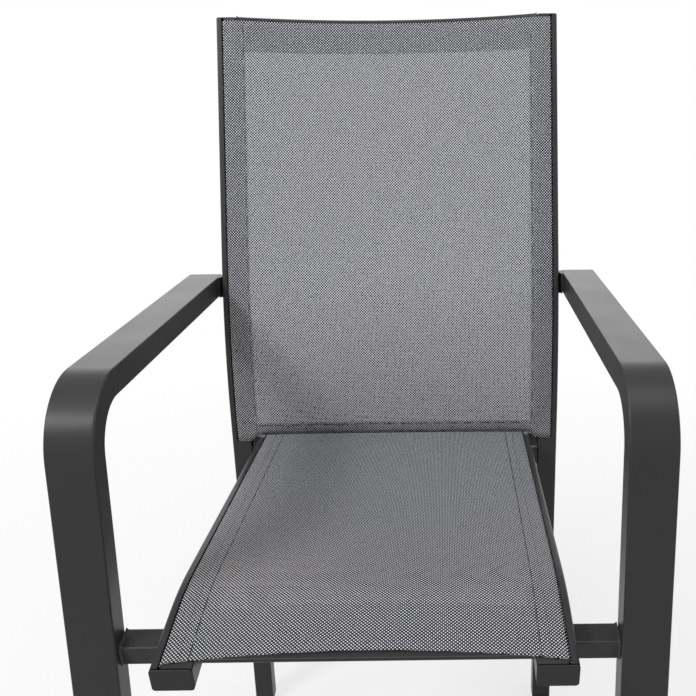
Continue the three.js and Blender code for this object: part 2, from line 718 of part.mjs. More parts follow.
// A sling: its section carried along a profile between two edges, each of which may curve
const sling = ({ profile, groove, halfSpan, edges, sag }) => {
  const outline = offsetFaces(slingCentreline(groove, halfSpan), FABRIC);
  const count = outline.length;
  const [start, stop] = [edges.from(groove), edges.to(groove)];
  const shares = profile
    .stations(start, stop, SLING_RING_SPACING)
    .map((distance) => (distance - start) / (stop - start));
  const rings = shares.length - 1;
  const positions = [];
  for (const share of shares) {
    for (const { x, y } of outline) {
      const distance = THREE.MathUtils.lerp(edges.from(Math.abs(x)), edges.to(Math.abs(x)), share);
      const place = profile.at(distance);
      const height = y - sag(share) * freeSpan(Math.abs(x), halfSpan);
      positions.push(-x, place.y - height * Math.sin(place.heading), place.z + height * Math.cos(place.heading));
    }
  }
  const triangles = [];
  for (let ring = 0; ring < rings; ring++) {
    for (let i = 0; i < count; i++) {
      const [a, b] = [ring * count + i, ring * count + ((i + 1) % count)];
      triangles.push(a, b, b + count, a, b + count, a + count);
    }
  }
  const last = rings * count;
  for (let i = 0; i < count / 2 - 1; i++) {
    const [a, b, c, d] = [i, i + 1, count - 2 - i, count - 1 - i];
    triangles.push(a, c, b, a, d, c);
    triangles.push(last + a, last + b, last + c, last + a, last + c, last + d);
  }
  const geometry = new THREE.BufferGeometry();
  geometry.setAttribute('position', new THREE.Float32BufferAttribute(positions, 3));
  geometry.setIndex(triangles);
  return facingOut(geometry);
};

const facingOut = (geometry) => {
  const position = geometry.getAttribute('position');
  const index = geometry.getIndex();
  const corner = (i) => new THREE.Vector3().fromBufferAttribute(position, index.getX(i));
  let volume = 0;
  for (let i = 0; i < index.count; i += 3) volume += corner(i).dot(corner(i + 1).cross(corner(i + 2)));
  if (volume > 0) return geometry;
  for (let i = 0; i < index.count; i += 3) {
    const second = index.getX(i + 1);
    index.setX(i + 1, index.getX(i + 2));
    index.setX(i + 2, second);
  }
  return geometry;
};

const eased = (share) => THREE.MathUtils.smoothstep(share, 0, 1);

const backSling = () =>
  sling({
    profile: postProfile,
    groove: postGroove,
    halfSpan: postInner,
    edges: {
      from: (x) => backSlingFrom - BACK_SLING_CORNER_DROP * eased(1 - (postGroove - x) / BACK_SLING_DROP_WIDTH),
      to: () => backSlingTo,
    },
    sag: (share) => THREE.MathUtils.lerp(BACK_BOW_BOTTOM, BACK_BOW_TOP, share ** 2),
  });

const seatSling = () =>
  sling({
    profile: railProfile,
    groove: railGroove,
    halfSpan: railInner,
    edges: {
      from: (x) => SEAT_SLING_SETBACK + SEAT_FRONT_SCOOP * (1 - (x / railGroove) ** 2),
      to: () => railProfile.length - CLEARANCE,
    },
    sag: (share) => SEAT_SAG * Math.sin(Math.PI * share) ** 2,
  });

const splineRod = (profile, groove, from, to) =>
  sweep(new THREE.Shape(round(groove, -CAVITY_DEPTH, SPLINE_RADIUS, ROD_FACETS)), profile, from, to);

// Assembly
const chair = new THREE.Group();

const place = (name, geometry, finish) => {
  const mesh = new THREE.Mesh(geometry, finish());
  mesh.name = name;
  chair.add(mesh);
};

const pair = (name, geometry, finish) => {
  place(`${name}_left`, geometry, finish);
  place(`${name}_right`, mirrored(geometry), finish);
};

pair('post', post(), finishes.frame);
pair('post_cap', postCap(), finishes.frame);
place('back_top_bar', topBar(), finishes.frame);
place('back_sling', backSling(), finishes.sling);
pair(
  'back_spline',
  splineRod(postProfile, postGroove, backSlingFrom - BACK_SLING_CORNER_DROP, backSlingTo),
  finishes.plastic,
);
pair('arm_and_front_leg', armTube(), finishes.frame);
pair('arm_end_plate', armEndPlate(), finishes.frame);
pair('arm_lug', armLug(), finishes.frame);
pair('seat_rail', seatRail(), finishes.frame);
pair('seat_lug', seatLug(), finishes.frame);
pair('seat_rail_front_cap', railCap(railProfile.at(0), -1), finishes.plastic);
pair('seat_rail_rear_cap', railCap(railProfile.end, 1), finishes.plastic);
place('seat_front_spreader', spreader(SPREADER_SETBACK + SPREADER_DEPTH / 2), finishes.frame);
place(
  'seat_rear_spreader',
  spreader(railProfile.length - REAR_SPREADER_SETBACK - SPREADER_DEPTH / 2),
  finishes.frame,
);
place('seat_sling', seatSling(), finishes.sling);
pair(
  'seat_spline',
  splineRod(railProfile, railGroove, SEAT_SLING_SETBACK, railProfile.length - CLEARANCE),
  finishes.plastic,
);
place('front_crossbar', crossbar(frontCrossbarAt, FRONT_CROSSBAR_DEPTH, armInner), finishes.frame);
place('rear_crossbar', crossbar(rearCrossbarAt, REAR_CROSSBAR_DEPTH, postInner), finishes.frame);
for (const [end, crossbarAt] of Object.entries({ front: frontCrossbarAt, rear: rearCrossbarAt })) {
  pair(`seat_bolt_${end}`, bolt(crossbarAt, -boltAt), finishes.steel);
  pair(`seat_nut_${end}`, nut(crossbarAt, -boltAt), finishes.steel);
}
pair('rear_glide', rearGlide(), finishes.plastic);
pair('front_glide', frontGlide(), finishes.plastic);

// The origin is on the floor under the middle of the chair's box
const box = new THREE.Box3().setFromObject(chair);
chair.position.y = -(box.min.y + box.max.y) / 2;

const group = new THREE.Group();
group.add(chair);
group.updateMatrixWorld(true);

export default group;
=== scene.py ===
# %% [markdown]
# # A sling patio chair, dressed for the camera
# The chair is a welded frame of powder-coated aluminium with two mesh slings stretched across it: one for
# the tall back and one for the seat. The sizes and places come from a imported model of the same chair,
# which this script loads first. What it adds is the finish: smooth tubes instead of faceted ones, woven
# fabric with its hems and stitching, moulded plastic ends, and the light that shows them.
#
# Lengths are in metres. X runs across the chair, the chair faces -Y, and the floor is at Z = 0.

# %% Load the frame
from math import acos, atan, copysign, cos, degrees, hypot, pi, radians, sin, sqrt

import bmesh
import bpy
from mathutils import Matrix, Vector


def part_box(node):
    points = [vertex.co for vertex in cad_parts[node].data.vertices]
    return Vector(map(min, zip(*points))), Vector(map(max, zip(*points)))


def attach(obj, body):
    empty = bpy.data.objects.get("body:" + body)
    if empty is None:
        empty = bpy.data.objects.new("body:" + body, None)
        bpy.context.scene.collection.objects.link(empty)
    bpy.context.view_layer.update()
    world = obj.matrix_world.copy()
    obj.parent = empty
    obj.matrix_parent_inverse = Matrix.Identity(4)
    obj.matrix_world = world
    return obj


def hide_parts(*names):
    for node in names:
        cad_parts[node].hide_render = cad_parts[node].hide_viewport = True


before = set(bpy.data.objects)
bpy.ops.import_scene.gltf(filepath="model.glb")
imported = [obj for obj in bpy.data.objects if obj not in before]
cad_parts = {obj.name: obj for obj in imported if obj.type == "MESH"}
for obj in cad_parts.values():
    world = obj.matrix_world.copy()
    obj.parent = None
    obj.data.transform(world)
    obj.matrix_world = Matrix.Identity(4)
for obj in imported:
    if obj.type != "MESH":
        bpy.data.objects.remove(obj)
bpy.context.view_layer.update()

# %% [markdown]
# ## The camera
# The photograph was taken from a little above the top of the back, close to the chair's middle, and then
# cropped off-centre. A crop moves the picture without changing its perspective, and so does a lens shift,
# so the camera has a shift instead of a turn. The place and the lens were worked out from the fabric: its
# weave is even, so the number of threads to a pixel tells how far away each part of the cloth is.

# %% Camera
PHOTO_SIZE = 696
FOCAL_PIXELS = 901.3
PRINCIPAL_PIXEL_X = 446.9
HORIZON_PIXEL_Y = 59.0
SENSOR = 0.036
CAMERA_PLACE = Vector((0.0756, -0.9941, 0.955))
CAMERA_ROLL = -0.0125
CLIP_START = 0.05


def aim(pitch, roll):
    """The camera's axes as columns: right, up and backwards."""
    forward = Vector((0, cos(pitch), -sin(pitch)))
    up = Vector((0, sin(pitch), cos(pitch)))
    right = Vector((1, 0, 0))
    right, up = right + roll * up, up - roll * right
    return Matrix((right.normalized(), up.normalized(), -forward)).transposed()


def make_camera():
    data = bpy.data.cameras.new("camera")
    data.sensor_width = SENSOR * 1000
    data.sensor_fit = "HORIZONTAL"
    data.lens = data.sensor_width * FOCAL_PIXELS / PHOTO_SIZE
    data.shift_x = (PHOTO_SIZE / 2 - PRINCIPAL_PIXEL_X) / PHOTO_SIZE
    data.clip_start = CLIP_START
    camera = bpy.data.objects.new("camera", data)
    pitch = atan((PHOTO_SIZE / 2 - HORIZON_PIXEL_Y) / FOCAL_PIXELS)
    camera.matrix_world = Matrix.Translation(CAMERA_PLACE) @ aim(pitch, CAMERA_ROLL).to_4x4()
    bpy.context.collection.objects.link(camera)
    bpy.context.scene.camera = camera
    print("camera:", round(data.lens, 2), "mm lens, looks down", round(degrees(pitch), 2), "degrees")


make_camera()

# %% [markdown]
# ## Node trees
# The world, the floor and every material are small node trees. Blender's own calls take a line for each
# node, each value and each link, so three helpers shorten that: one empties a tree, one adds a node with
# its inputs already set or linked, and one lets arithmetic on sockets read like a formula.

# %% Node helpers
def nodes_of(owner):
    """The owner's node tree, emptied."""
    owner.use_nodes = True
    tree = owner.node_tree
    tree.nodes.clear()
    return tree


def add_node(tree, kind, settings=None, **inputs):
    """A node of that kind; settings are its properties, inputs its sockets by name or as i0, i1 and on."""
    node = tree.nodes.new("ShaderNode" + kind)
    for name, value in (settings or {}).items():
        setattr(node, name, value)
    for name, value in inputs.items():
        key = int(name[1:]) if name[0] == "i" and name[1:].isdigit() else name.replace("_", " ")
        if isinstance(value, bpy.types.NodeSocket):
            tree.links.new(value, node.inputs[key])
        else:
            node.inputs[key].default_value = value
    return node


class Sums:
    """Arithmetic on sockets: a method's name is the operation of the Math node that it adds."""

    def __init__(self, tree):
        self.tree = tree

    def __getattr__(self, operation):
        def node(*values):
            inputs = {f"i{i}": value for i, value in enumerate(values)}
            return add_node(self.tree, "Math", {"operation": operation.upper()}, **inputs).outputs[0]

        return node


print("helpers: nodes_of, add_node, Sums")

# %% [markdown]
# ## Floor and backdrop
# The picture is a cut-out on white. More light would turn a grey backdrop white, but it would bleach the
# chair too. So the world is white only where the camera, a reflection or a see-through surface looks, and
# lights the chair dimly. The floor is a plain pale sheet that keeps the chair's shadow and grows whiter
# away from it, so that its edge doesn't show.

# %% World and floor
FLOOR_REACH = 6.0
FLOOR_COLOR = (0.86, 0.86, 0.855, 1)
FLOOR_WHITE_NEAR = 0.72
FADE_FROM = 0.5
FADE_TO = 1.8
SKY = (0.98, 0.99, 1, 1)
WORLD_LIGHT = 0.18
WHITE = (1, 1, 1, 1)


def seen_directly(tree):
    """One where the camera, a reflection or a see-through surface looks, and zero for light."""
    path = add_node(tree, "LightPath").outputs
    do = Sums(tree)
    return do.maximum(do.maximum(path["Is Camera Ray"], path["Is Glossy Ray"]), path["Is Transmission Ray"])


def make_world():
    world = bpy.data.worlds.new("studio")
    bpy.context.scene.world = world
    tree = nodes_of(world)
    light = add_node(tree, "Background", Color=SKY, Strength=WORLD_LIGHT).outputs[0]
    white = add_node(tree, "Background", Color=WHITE, Strength=1.0).outputs[0]
    mix = add_node(tree, "MixShader", Fac=seen_directly(tree), i1=light, i2=white)
    add_node(tree, "OutputWorld", Surface=mix.outputs[0])


def floor_material():
    material = bpy.data.materials.new("floor paper")
    tree = nodes_of(material)
    paper = add_node(tree, "BsdfDiffuse", Color=FLOOR_COLOR).outputs[0]
    white = add_node(tree, "Emission", Color=WHITE, Strength=1.0).outputs[0]
    place = add_node(tree, "TexCoord").outputs["Object"]
    away = add_node(tree, "VectorMath", {"operation": "LENGTH"}, i0=place).outputs["Value"]
    fade = dict(From_Min=FADE_FROM, From_Max=FADE_TO, To_Min=FLOOR_WHITE_NEAR, To_Max=1.0)
    fading = add_node(tree, "MapRange", Value=away, **fade).outputs[0]
    whiteness = Sums(tree).multiply(fading, seen_directly(tree))
    mixed = add_node(tree, "MixShader", Fac=whiteness, i1=paper, i2=white)
    add_node(tree, "OutputMaterial", Surface=mixed.outputs[0])
    return material


def make_floor():
    mesh = bpy.data.meshes.new("floor")
    corners = [(x * FLOOR_REACH, y * FLOOR_REACH, 0) for x, y in ((-1, -1), (1, -1), (1, 1), (-1, 1))]
    mesh.from_pydata(corners, [], [(0, 1, 2, 3)])
    mesh.materials.append(floor_material())
    floor = bpy.data.objects.new("floor", mesh)
    bpy.context.collection.objects.link(floor)


make_world()
make_floor()
print("floor:", 2 * FLOOR_REACH, "m square, in a white world that gives", WORLD_LIGHT, "of light")

# %% [markdown]
# ## Light
# The photograph's light comes from the left front, from high enough to throw the armrest's soft shadow
# onto the seat and the lower back. That is the key lamp, a panel no larger than that soft edge needs. A
# sun would draw a hard edge, and broad panels alone would draw none. A broad panel above fills the
# shadow, weaker ones on the left and the right pick out the tubes' sides, and one behind lights the back
# of the chair.

# %% Lamps
SEAT_MIDDLE = (0, 0, 0.5)
LAMPS = (
    ("key", (-1.9, -1.8, 2.8), (1.0, 0.6), 66),
    ("top", (0.1, -0.8, 3.2), (2.0, 1.6), 34),
    ("left", (-2.6, 0.1, 1.5), (1.6, 1.8), 10),
    ("right", (2.6, -0.4, 1.6), (1.6, 1.8), 19),
    ("rear", (-0.2, 2.6, 1.6), (3.0, 1.3), 15.5),
)


def soft_lamp(name, place, size, watts):
    """A panel of that size, turned towards the seat."""
    data = bpy.data.lights.new(name, "AREA")
    data.shape = "RECTANGLE"
    data.size, data.size_y = size
    data.energy = watts
    lamp = bpy.data.objects.new(name, data)
    lamp.location = place
    lamp.rotation_euler = (Vector(SEAT_MIDDLE) - Vector(place)).to_track_quat("-Z", "Y").to_euler()
    lamp.visible_camera = False
    bpy.context.collection.objects.link(lamp)


for lamp in LAMPS:
    soft_lamp(*lamp)
bpy.context.scene.view_settings.view_transform = "Standard"
print("lamps:", ", ".join(f"{name} {watts} W" for name, _, _, watts in LAMPS))

# %% [markdown]
# ## Lines to build along
# Every tube of the chair lies in a plane from front to back, so one kind of line is enough for all of
# them: a side profile made of straights and round bends. It could also be a Bezier curve with a bevel,
# but a bevel twists and pinches where a bend is tight, and the fabric has to follow the very same line.
# So a profile is a small class that can say where it is, and which way it heads, at any distance along
# it.

# %% Side profile
class SideProfile:
    """A line in the Y-Z plane made of straights and arcs. A heading of zero runs towards +Y."""

    def __init__(self, y, z, heading):
        self.legs = []
        self.length = 0.0
        self.y, self.z, self.heading = y, z, heading

    def add(self, run, bend):
        """A leg of that length, which turns by bend from its start to its end."""
        self.legs.append((self.length, run, bend, self.y, self.z, self.heading))
        self.y, self.z, self.heading = self.on_leg(self.legs[-1], run)
        self.length += run
        return self

    def straight(self, run):
        return self.add(run, 0.0)

    def arc(self, radius, bend):
        return self.add(radius * abs(bend), bend)

    @staticmethod
    def on_leg(leg, along):
        _, run, bend, y, z, heading = leg
        if bend == 0:
            return y + along * cos(heading), z + along * sin(heading), heading
        radius = run / bend
        now = heading + along / radius
        return y + radius * (sin(now) - sin(heading)), z - radius * (cos(now) - cos(heading)), now

    def at(self, distance):
        """y, z and heading at a distance; past an end the line runs straight on."""
        leg = next((x for x in reversed(self.legs) if distance >= x[0]), self.legs[0])
        along = distance - leg[0]
        if distance < 0 or distance > self.length:
            at_end = min(max(along, 0.0), leg[1])
            y, z, heading = self.on_leg(leg, at_end)
            rest = along - at_end
            return y + rest * cos(heading), z + rest * sin(heading), heading
        return self.on_leg(leg, along)

    def point(self, x, height, distance):
        """The point at x across the chair and at a height over the line, square to it."""
        y, z, heading = self.at(distance)
        return Vector((x, y - height * sin(heading), z + height * cos(heading)))

    def at_height(self, z):
        """The distance at which a rising line reaches that height."""
        low, high = 0.0, self.length
        for _ in range(40):
            middle = (low + high) / 2
            if self.at(middle)[1] < z:
                low = middle
            else:
                high = middle
        return low

    def stations(self, start, stop, straight_step, bend_step=radians(1.5)):
        """Distances from start to stop, close together where the line bends."""
        found = [start]
        for begin, run, bend, *_ in self.legs:
            low, high = max(start, begin), min(stop, begin + run)
            if high <= low:
                continue
            share = (high - low) / run
            count = max(1, round((high - low) / straight_step), round(abs(bend) * share / bend_step))
            found += [low + (high - low) * i / count for i in range(1, count + 1)]
        if stop - found[-1] > 1e-6:
            found.append(stop)
        return found


print("helper: SideProfile")

# %% [markdown]
# ## The chair's three lines
# The back post stands upright, bends back once above the seat and runs straight to the top. The seat rail
# drops over a rounded nose at the front. The armrest and the front leg are one tube with a tight bend.
# Their bends and slopes are the real tube's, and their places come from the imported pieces' own boxes.

# %% Profiles from the frame
post_low, post_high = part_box("post_left")
rail_low, rail_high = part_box("seat_rail_left")
arm_low, arm_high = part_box("arm_and_front_leg_left")

POST_BEND_START = 0.480
POST_BEND_RADIUS = 0.850
POST_RECLINE = radians(15.5)
POST_DEPTH = 0.025
RAIL_NOSE = 0.065
RAIL_NOSE_TILT = radians(11)
RAIL_TILT = radians(2.4)
RAIL_BEND_RADIUS = 0.290
RAIL_HEIGHT = 0.025
ARM_THICKNESS = 0.0275
ARM_BEND_RADIUS = 0.072
ARM_RISE = radians(1.3)
FRONT_LEG_RAKE = radians(4)
UPRIGHT = pi / 2

post_line = SideProfile(post_low.y, post_low.z, UPRIGHT).straight(POST_BEND_START - post_low.z)
post_line.arc(POST_BEND_RADIUS, -POST_RECLINE)
post_line.straight((post_high.z - post_line.z) / cos(POST_RECLINE))

nose_rise = RAIL_NOSE * sin(RAIL_NOSE_TILT) + RAIL_BEND_RADIUS * (1 - cos(RAIL_NOSE_TILT))
rail_line = SideProfile(rail_low.y, rail_high.z - nose_rise, RAIL_NOSE_TILT).straight(RAIL_NOSE)
rail_line.arc(RAIL_BEND_RADIUS, -RAIL_NOSE_TILT - RAIL_TILT)
rail_line.straight((rail_high.y - rail_line.y) / cos(RAIL_TILT))

leg_bottom = arm_low.z + ARM_THICKNESS * sin(FRONT_LEG_RAKE)
bend_top = ARM_BEND_RADIUS * (1 - sin(FRONT_LEG_RAKE))
arm_line = SideProfile(arm_low.y, leg_bottom, UPRIGHT - FRONT_LEG_RAKE)
arm_line.straight((arm_high.z - bend_top - leg_bottom) / cos(FRONT_LEG_RAKE))
arm_line.arc(ARM_BEND_RADIUS, FRONT_LEG_RAKE - ARM_RISE - UPRIGHT)
arm_line.straight((arm_high.y - arm_line.y) / cos(ARM_RISE))

for name, line in (("post", post_line), ("rail", rail_line), ("arm", arm_line)):
    print(f"{name}: {line.length:.4f} long, ends at y {line.y:.4f} z {line.z:.4f}")

# %% [markdown]
# ## From a section to a piece
# An aluminium extrusion is one section pushed along a line, so that is how the tubes are made here: the
# section's points are carried from station to station, one ring of points at each, and a skin of quads
# joins the rings. A curve with a bevel object would be shorter to write, but its ends and the groove's
# start couldn't be shaped. Faces meet in small round corners, and face-weighted normals keep the broad
# faces looking flat beside them.

# %% Sections
def arc_points(x, y, radius, start, stop, count):
    """Points along an arc, both ends included."""
    angles = [start + (stop - start) * i / count for i in range(count + 1)]
    return [(x + radius * cos(angle), y + radius * sin(angle)) for angle in angles]


CORNER_SEGMENTS = 5


def rounded_section(left, bottom, right, top, corner, insert=()):
    """A rounded rectangle, anticlockwise from lower left; insert goes into the top edge, right to left."""
    return [
        *arc_points(left + corner, bottom + corner, corner, pi, 1.5 * pi, CORNER_SEGMENTS),
        *arc_points(right - corner, bottom + corner, corner, -pi / 2, 0, CORNER_SEGMENTS),
        *arc_points(right - corner, top - corner, corner, 0, pi / 2, CORNER_SEGMENTS),
        *insert,
        *arc_points(left + corner, top - corner, corner, pi / 2, pi, CORNER_SEGMENTS),
    ]


print("helpers: arc_points, rounded_section")

# %% [markdown]
# Every piece is made of rings of points with a skin through them. Edges sharper than the angle given stay
# sharp, as a sawn end does, and the rest is shaded smooth, as a rolled or bent face is.

# %% Pieces
ROOT = "root"


def new_piece(name, points, faces, look, nodes=(), sharp_angle=40):
    """An object that rides on the chair; look is its material and a slot name, which is not used; nodes are
    what it replaces.
    """
    material, slot = look
    mesh = bpy.data.meshes.new(name)
    mesh.from_pydata([tuple(p) for p in points], [], faces)
    mesh.validate()
    tidy = bmesh.new()
    tidy.from_mesh(mesh)
    bmesh.ops.recalc_face_normals(tidy, faces=tidy.faces)
    tidy.to_mesh(mesh)
    tidy.free()
    mesh.shade_smooth()
    mesh.set_sharp_from_angle(angle=radians(sharp_angle))
    mesh.materials.append(material)
    piece = bpy.data.objects.new(name, mesh)
    bpy.context.collection.objects.link(piece)
    piece.modifiers.new("flat faces stay flat", "WEIGHTED_NORMAL").keep_sharp = True
    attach(piece, ROOT)
    if nodes:
        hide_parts(*nodes)
    return piece


def skin(rings, closed=False):
    """Points and faces through rings of points, with two ends, or with the last ring joined to the first."""
    count = len(rings[0])
    points = [point for ring in rings for point in ring]
    faces = []
    for ring in range(len(rings) if closed else len(rings) - 1):
        low, high = ring * count, (ring + 1) % len(rings) * count
        for i in range(count):
            after = (i + 1) % count
            faces.append((low + i, low + after, high + after, high + i))
    if not closed:
        faces += [tuple(reversed(range(count))), tuple(range(len(points) - count, len(points)))]
    return points, faces


def swept(line, placed):
    """Rings along a profile, from a list of distances, each with the section that stands there."""
    return [[line.point(x, height, distance) for x, height in section] for distance, section in placed]


print("helpers: new_piece, skin, swept")

# %% [markdown]
# The chair is the same on both sides, so a piece is worked out for the right side and mirrored for the
# left.

# %% Left and right
SIDES = (("left", -1), ("right", 1))


def pair(name, node, rings, look, closed=False):
    """A piece for each side of the chair; the rings are given for the right."""
    points, faces = skin(rings, closed)
    for side, sign in SIDES:
        placed = [Vector((sign * point.x, point.y, point.z)) for point in points]
        new_piece(f"{name}_{side}", placed, faces, look, [f"{node}_{side}"])


print("helper: pair")

# %% [markdown]
# ## Powder coat
# The frame's colour is a baked-on powder: it melts into a skin that is never quite flat, so a highlight
# on it is soft and slightly pebbled. An image of a scratched metal would look worn and would repeat;
# noise has no seams and holds at any distance. Two sizes of it are used: a fine one for the pebbled skin,
# and a broad one that makes some places a little shinier than others, as hands and rain do.

# %% Powder coat material
POWDER_COLOR = (0.032, 0.0302, 0.0302, 1)
POWDER_DARKER = (0.0265, 0.0253, 0.0256, 1)
POWDER_PEBBLES = 1100
POWDER_SMUDGES = 14


def noise(tree, place, scale, detail=2.0):
    return add_node(tree, "TexNoise", Vector=place, Scale=scale, Detail=detail, Roughness=0.5).outputs[0]


def remap(tree, value, low, high):
    """A value between 0 and 1 spread between low and high."""
    return add_node(tree, "MapRange", Value=value, To_Min=low, To_Max=high).outputs[0]


def blend_colors(tree, factor, first, second):
    mix = add_node(tree, "Mix", {"data_type": "RGBA"})
    for socket, value in ((mix.inputs[0], factor), (mix.inputs[6], first), (mix.inputs[7], second)):
        if isinstance(value, bpy.types.NodeSocket):
            tree.links.new(value, socket)
        else:
            socket.default_value = value
    return mix.outputs[2]


def bump(tree, height, strength, distance):
    return add_node(tree, "Bump", Height=height, Strength=strength, Distance=distance).outputs[0]


def finish_material(tree, **sockets):
    surface = add_node(tree, "BsdfPrincipled", **sockets)
    add_node(tree, "OutputMaterial", Surface=surface.outputs[0])


def new_material(name):
    """A material with an empty tree, and the place on the object, to lay noise by."""
    material = bpy.data.materials.new(name)
    tree = nodes_of(material)
    return material, tree, add_node(tree, "TexCoord").outputs["Object"]


def powder_coat():
    material, tree, place = new_material("powder_coat")
    smudges = noise(tree, place, POWDER_SMUDGES)
    pebbles = noise(tree, place, POWDER_PEBBLES, detail=1.0)
    finish_material(
        tree,
        Base_Color=blend_colors(tree, smudges, POWDER_COLOR, POWDER_DARKER),
        Roughness=remap(tree, smudges, low=0.31, high=0.40),
        Normal=bump(tree, pebbles, strength=0.25, distance=0.0003),
        Specular_IOR_Level=0.22,
    )
    return material


powder = powder_coat()
FRAME_LOOK = (powder, "powder_coat")
print("material:", powder.name)

# %% [markdown]
# ## Moulded plastic and steel
# The rail ends, the foot glides and the hem rods are black plastic. A mould's texture is duller and
# coarser than powder coat, and the black is deeper. The bolts and nuts are plain stainless steel, with
# the fine lay that turning leaves. Both could share the powder's material with other numbers, but each
# has its own, so that one finish can be changed without the others.

# %% Plastic and steel
PLASTIC_COLOR = (0.015, 0.015, 0.016, 1)
PLASTIC_LIGHTER = (0.023, 0.023, 0.0245, 1)
PLASTIC_GRAIN = 1600
STEEL_COLOR = (0.56, 0.55, 0.53, 1)
STEEL_LAY = 2200


def black_plastic():
    material, tree, place = new_material("black_plastic")
    grain = noise(tree, place, PLASTIC_GRAIN, detail=3.0)
    finish_material(
        tree,
        Base_Color=blend_colors(tree, grain, PLASTIC_COLOR, PLASTIC_LIGHTER),
        Roughness=remap(tree, grain, low=0.5, high=0.68),
        Specular_IOR_Level=0.25,
        Normal=bump(tree, grain, strength=0.35, distance=0.0002),
    )
    return material


def stainless_steel():
    material, tree, place = new_material("stainless_steel")
    lay = noise(tree, place, STEEL_LAY, detail=4.0)
    finish_material(
        tree,
        Base_Color=STEEL_COLOR,
        Metallic=1.0,
        Roughness=remap(tree, lay, low=0.22, high=0.40),
        Normal=bump(tree, lay, strength=0.15, distance=0.0001),
    )
    return material


plastic = black_plastic()
steel = stainless_steel()
PLASTIC_LOOK = (plastic, "black_plastic")
STEEL_LOOK = (steel, "stainless_steel")
print("materials:", plastic.name, "and", steel.name)

# %% [markdown]
# ## Woven mesh
# Sling fabric is woven from plastic-coated yarn, light one way and black the other, two yarns side by
# side in a basket weave: light and black squares take turns like a chessboard, and a pinhole is left
# where four squares meet. A picture of cloth would blur or repeat here, and real yarns would take
# millions of faces. The weave is regular, so it can be computed: the fabric's own coordinates, in metres,
# are divided by the size of a square, and the rest is a few sums. Whether the two whole numbers add up to
# an even one says if a square is light or black. The place inside the square says where the light yarn's
# round back shows, where it dives into the dark, and where a corner is open. The corners are cut out of
# the light squares alone, so a second layer with black squares behind them closes most of the pinholes,
# which is what darkens a hem.

# %% Sling fabric material
SQUARE_WIDTH = 0.00180
SQUARE_LENGTH = 0.00187
LIGHT_YARN = (0.87, 0.887, 0.94, 1)
BLACK_YARN = (0.006, 0.006, 0.007, 1)
LIGHT_REACH = 0.36
PINHOLE = 0.238
FLOAT_POWER = 3.0
RIDGE_HEIGHT = 0.6
# RIDGE_SHADE is how much painted shade darkens the light yarn between its ridges.
RIDGE_SHADE = 0.28
YARN_RISE = 0.0003
THREAD_TWIST = 3000
BLACK_THREAD = ((0.012, 0.012, 0.014, 1), (0.035, 0.035, 0.04, 1))
GREY_THREAD = ((0.095, 0.095, 0.10, 1), (0.16, 0.16, 0.17, 1))


def sling_fabric():
    material = bpy.data.materials.new("sling_fabric")
    tree = nodes_of(material)
    do = Sums(tree)
    cloth = add_node(tree, "UVMap", {"uv_map": "cloth"}).outputs[0]
    across_along = add_node(tree, "SeparateXYZ", Vector=cloth)
    across = do.divide(across_along.outputs[0], SQUARE_WIDTH)
    along = do.divide(across_along.outputs[1], SQUARE_LENGTH)
    parity = do.modulo(do.add(do.floor(across), do.floor(along)), 2.0)
    is_black = do.absolute(parity)
    from_middle_x = do.absolute(do.subtract(do.fract(across), 0.5))
    from_middle_y = do.absolute(do.subtract(do.fract(along), 0.5))
    corner = do.minimum(from_middle_x, from_middle_y)
    is_hole = do.multiply(do.greater_than(corner, 0.5 - PINHOLE), do.subtract(1.0, is_black))
    powers = do.add(do.power(from_middle_x, FLOAT_POWER), do.power(from_middle_y, FLOAT_POWER))
    spread = do.power(powers, 1 / FLOAT_POWER)
    is_float = do.less_than(spread, LIGHT_REACH)
    is_light = do.multiply(do.subtract(1.0, is_black), is_float)
    ridge_light = do.absolute(do.sine(do.multiply(along, 2 * pi)))
    ridge_black = do.absolute(do.sine(do.multiply(across, 2 * pi)))
    ridge = do.add(do.multiply(ridge_light, is_light), do.multiply(ridge_black, is_black))
    dive = do.cosine(do.multiply(spread, pi))
    height = do.multiply(dive, do.add(1 - RIDGE_HEIGHT, do.multiply(ridge, RIDGE_HEIGHT)))
    # The light yarn's colour is painted darker in the furrows between its ridges: painted shade, laid over
    # the bump that shapes the same ridges.
    shade = do.add(1 - RIDGE_SHADE, do.multiply(ridge, RIDGE_SHADE))
    light = add_node(tree, "VectorMath", {"operation": "SCALE"}, i0=LIGHT_YARN[:3], Scale=shade).outputs[0]
    finish_material(
        tree,
        Base_Color=blend_colors(tree, is_light, BLACK_YARN, light),
        Roughness=0.6,
        Specular_IOR_Level=0.25,
        Alpha=do.subtract(1.0, is_hole),
        Normal=bump(tree, height, strength=0.5, distance=YARN_RISE),
    )
    return material


def seam_thread(name, dark, light):
    material, tree, place = new_material(name)
    twist = noise(tree, place, THREAD_TWIST)
    finish_material(tree, Base_Color=blend_colors(tree, twist, dark, light), Roughness=0.7)
    return material


fabric = sling_fabric()
black_thread = seam_thread("black_thread", *BLACK_THREAD)
grey_thread = seam_thread("grey_thread", *GREY_THREAD)
print("materials:", ", ".join(m.name for m in (fabric, black_thread, grey_thread)))

# %% [markdown]
# ## Back posts
# Each back post is one extrusion that runs from the floor to the top of the back. Its front face has a
# keyhole groove for the edge of the sling, but only where the sling is; below it the face is plain. The
# same section serves for both: where there is no groove, its points lie flat in the face, and at the
# groove's start they drop into place, which makes the groove's end wall at once.

# %% Posts
POST_CORNER = 0.0025
GROOVE_INSET = 0.0085
SLOT_WIDTH = 0.003
CAVITY_DEPTH = 0.006
CAVITY_RADIUS = 0.0039
CAVITY_SEGMENTS = 14
CLEARANCE = 0.0003
STRAIGHT_STEP = 0.05

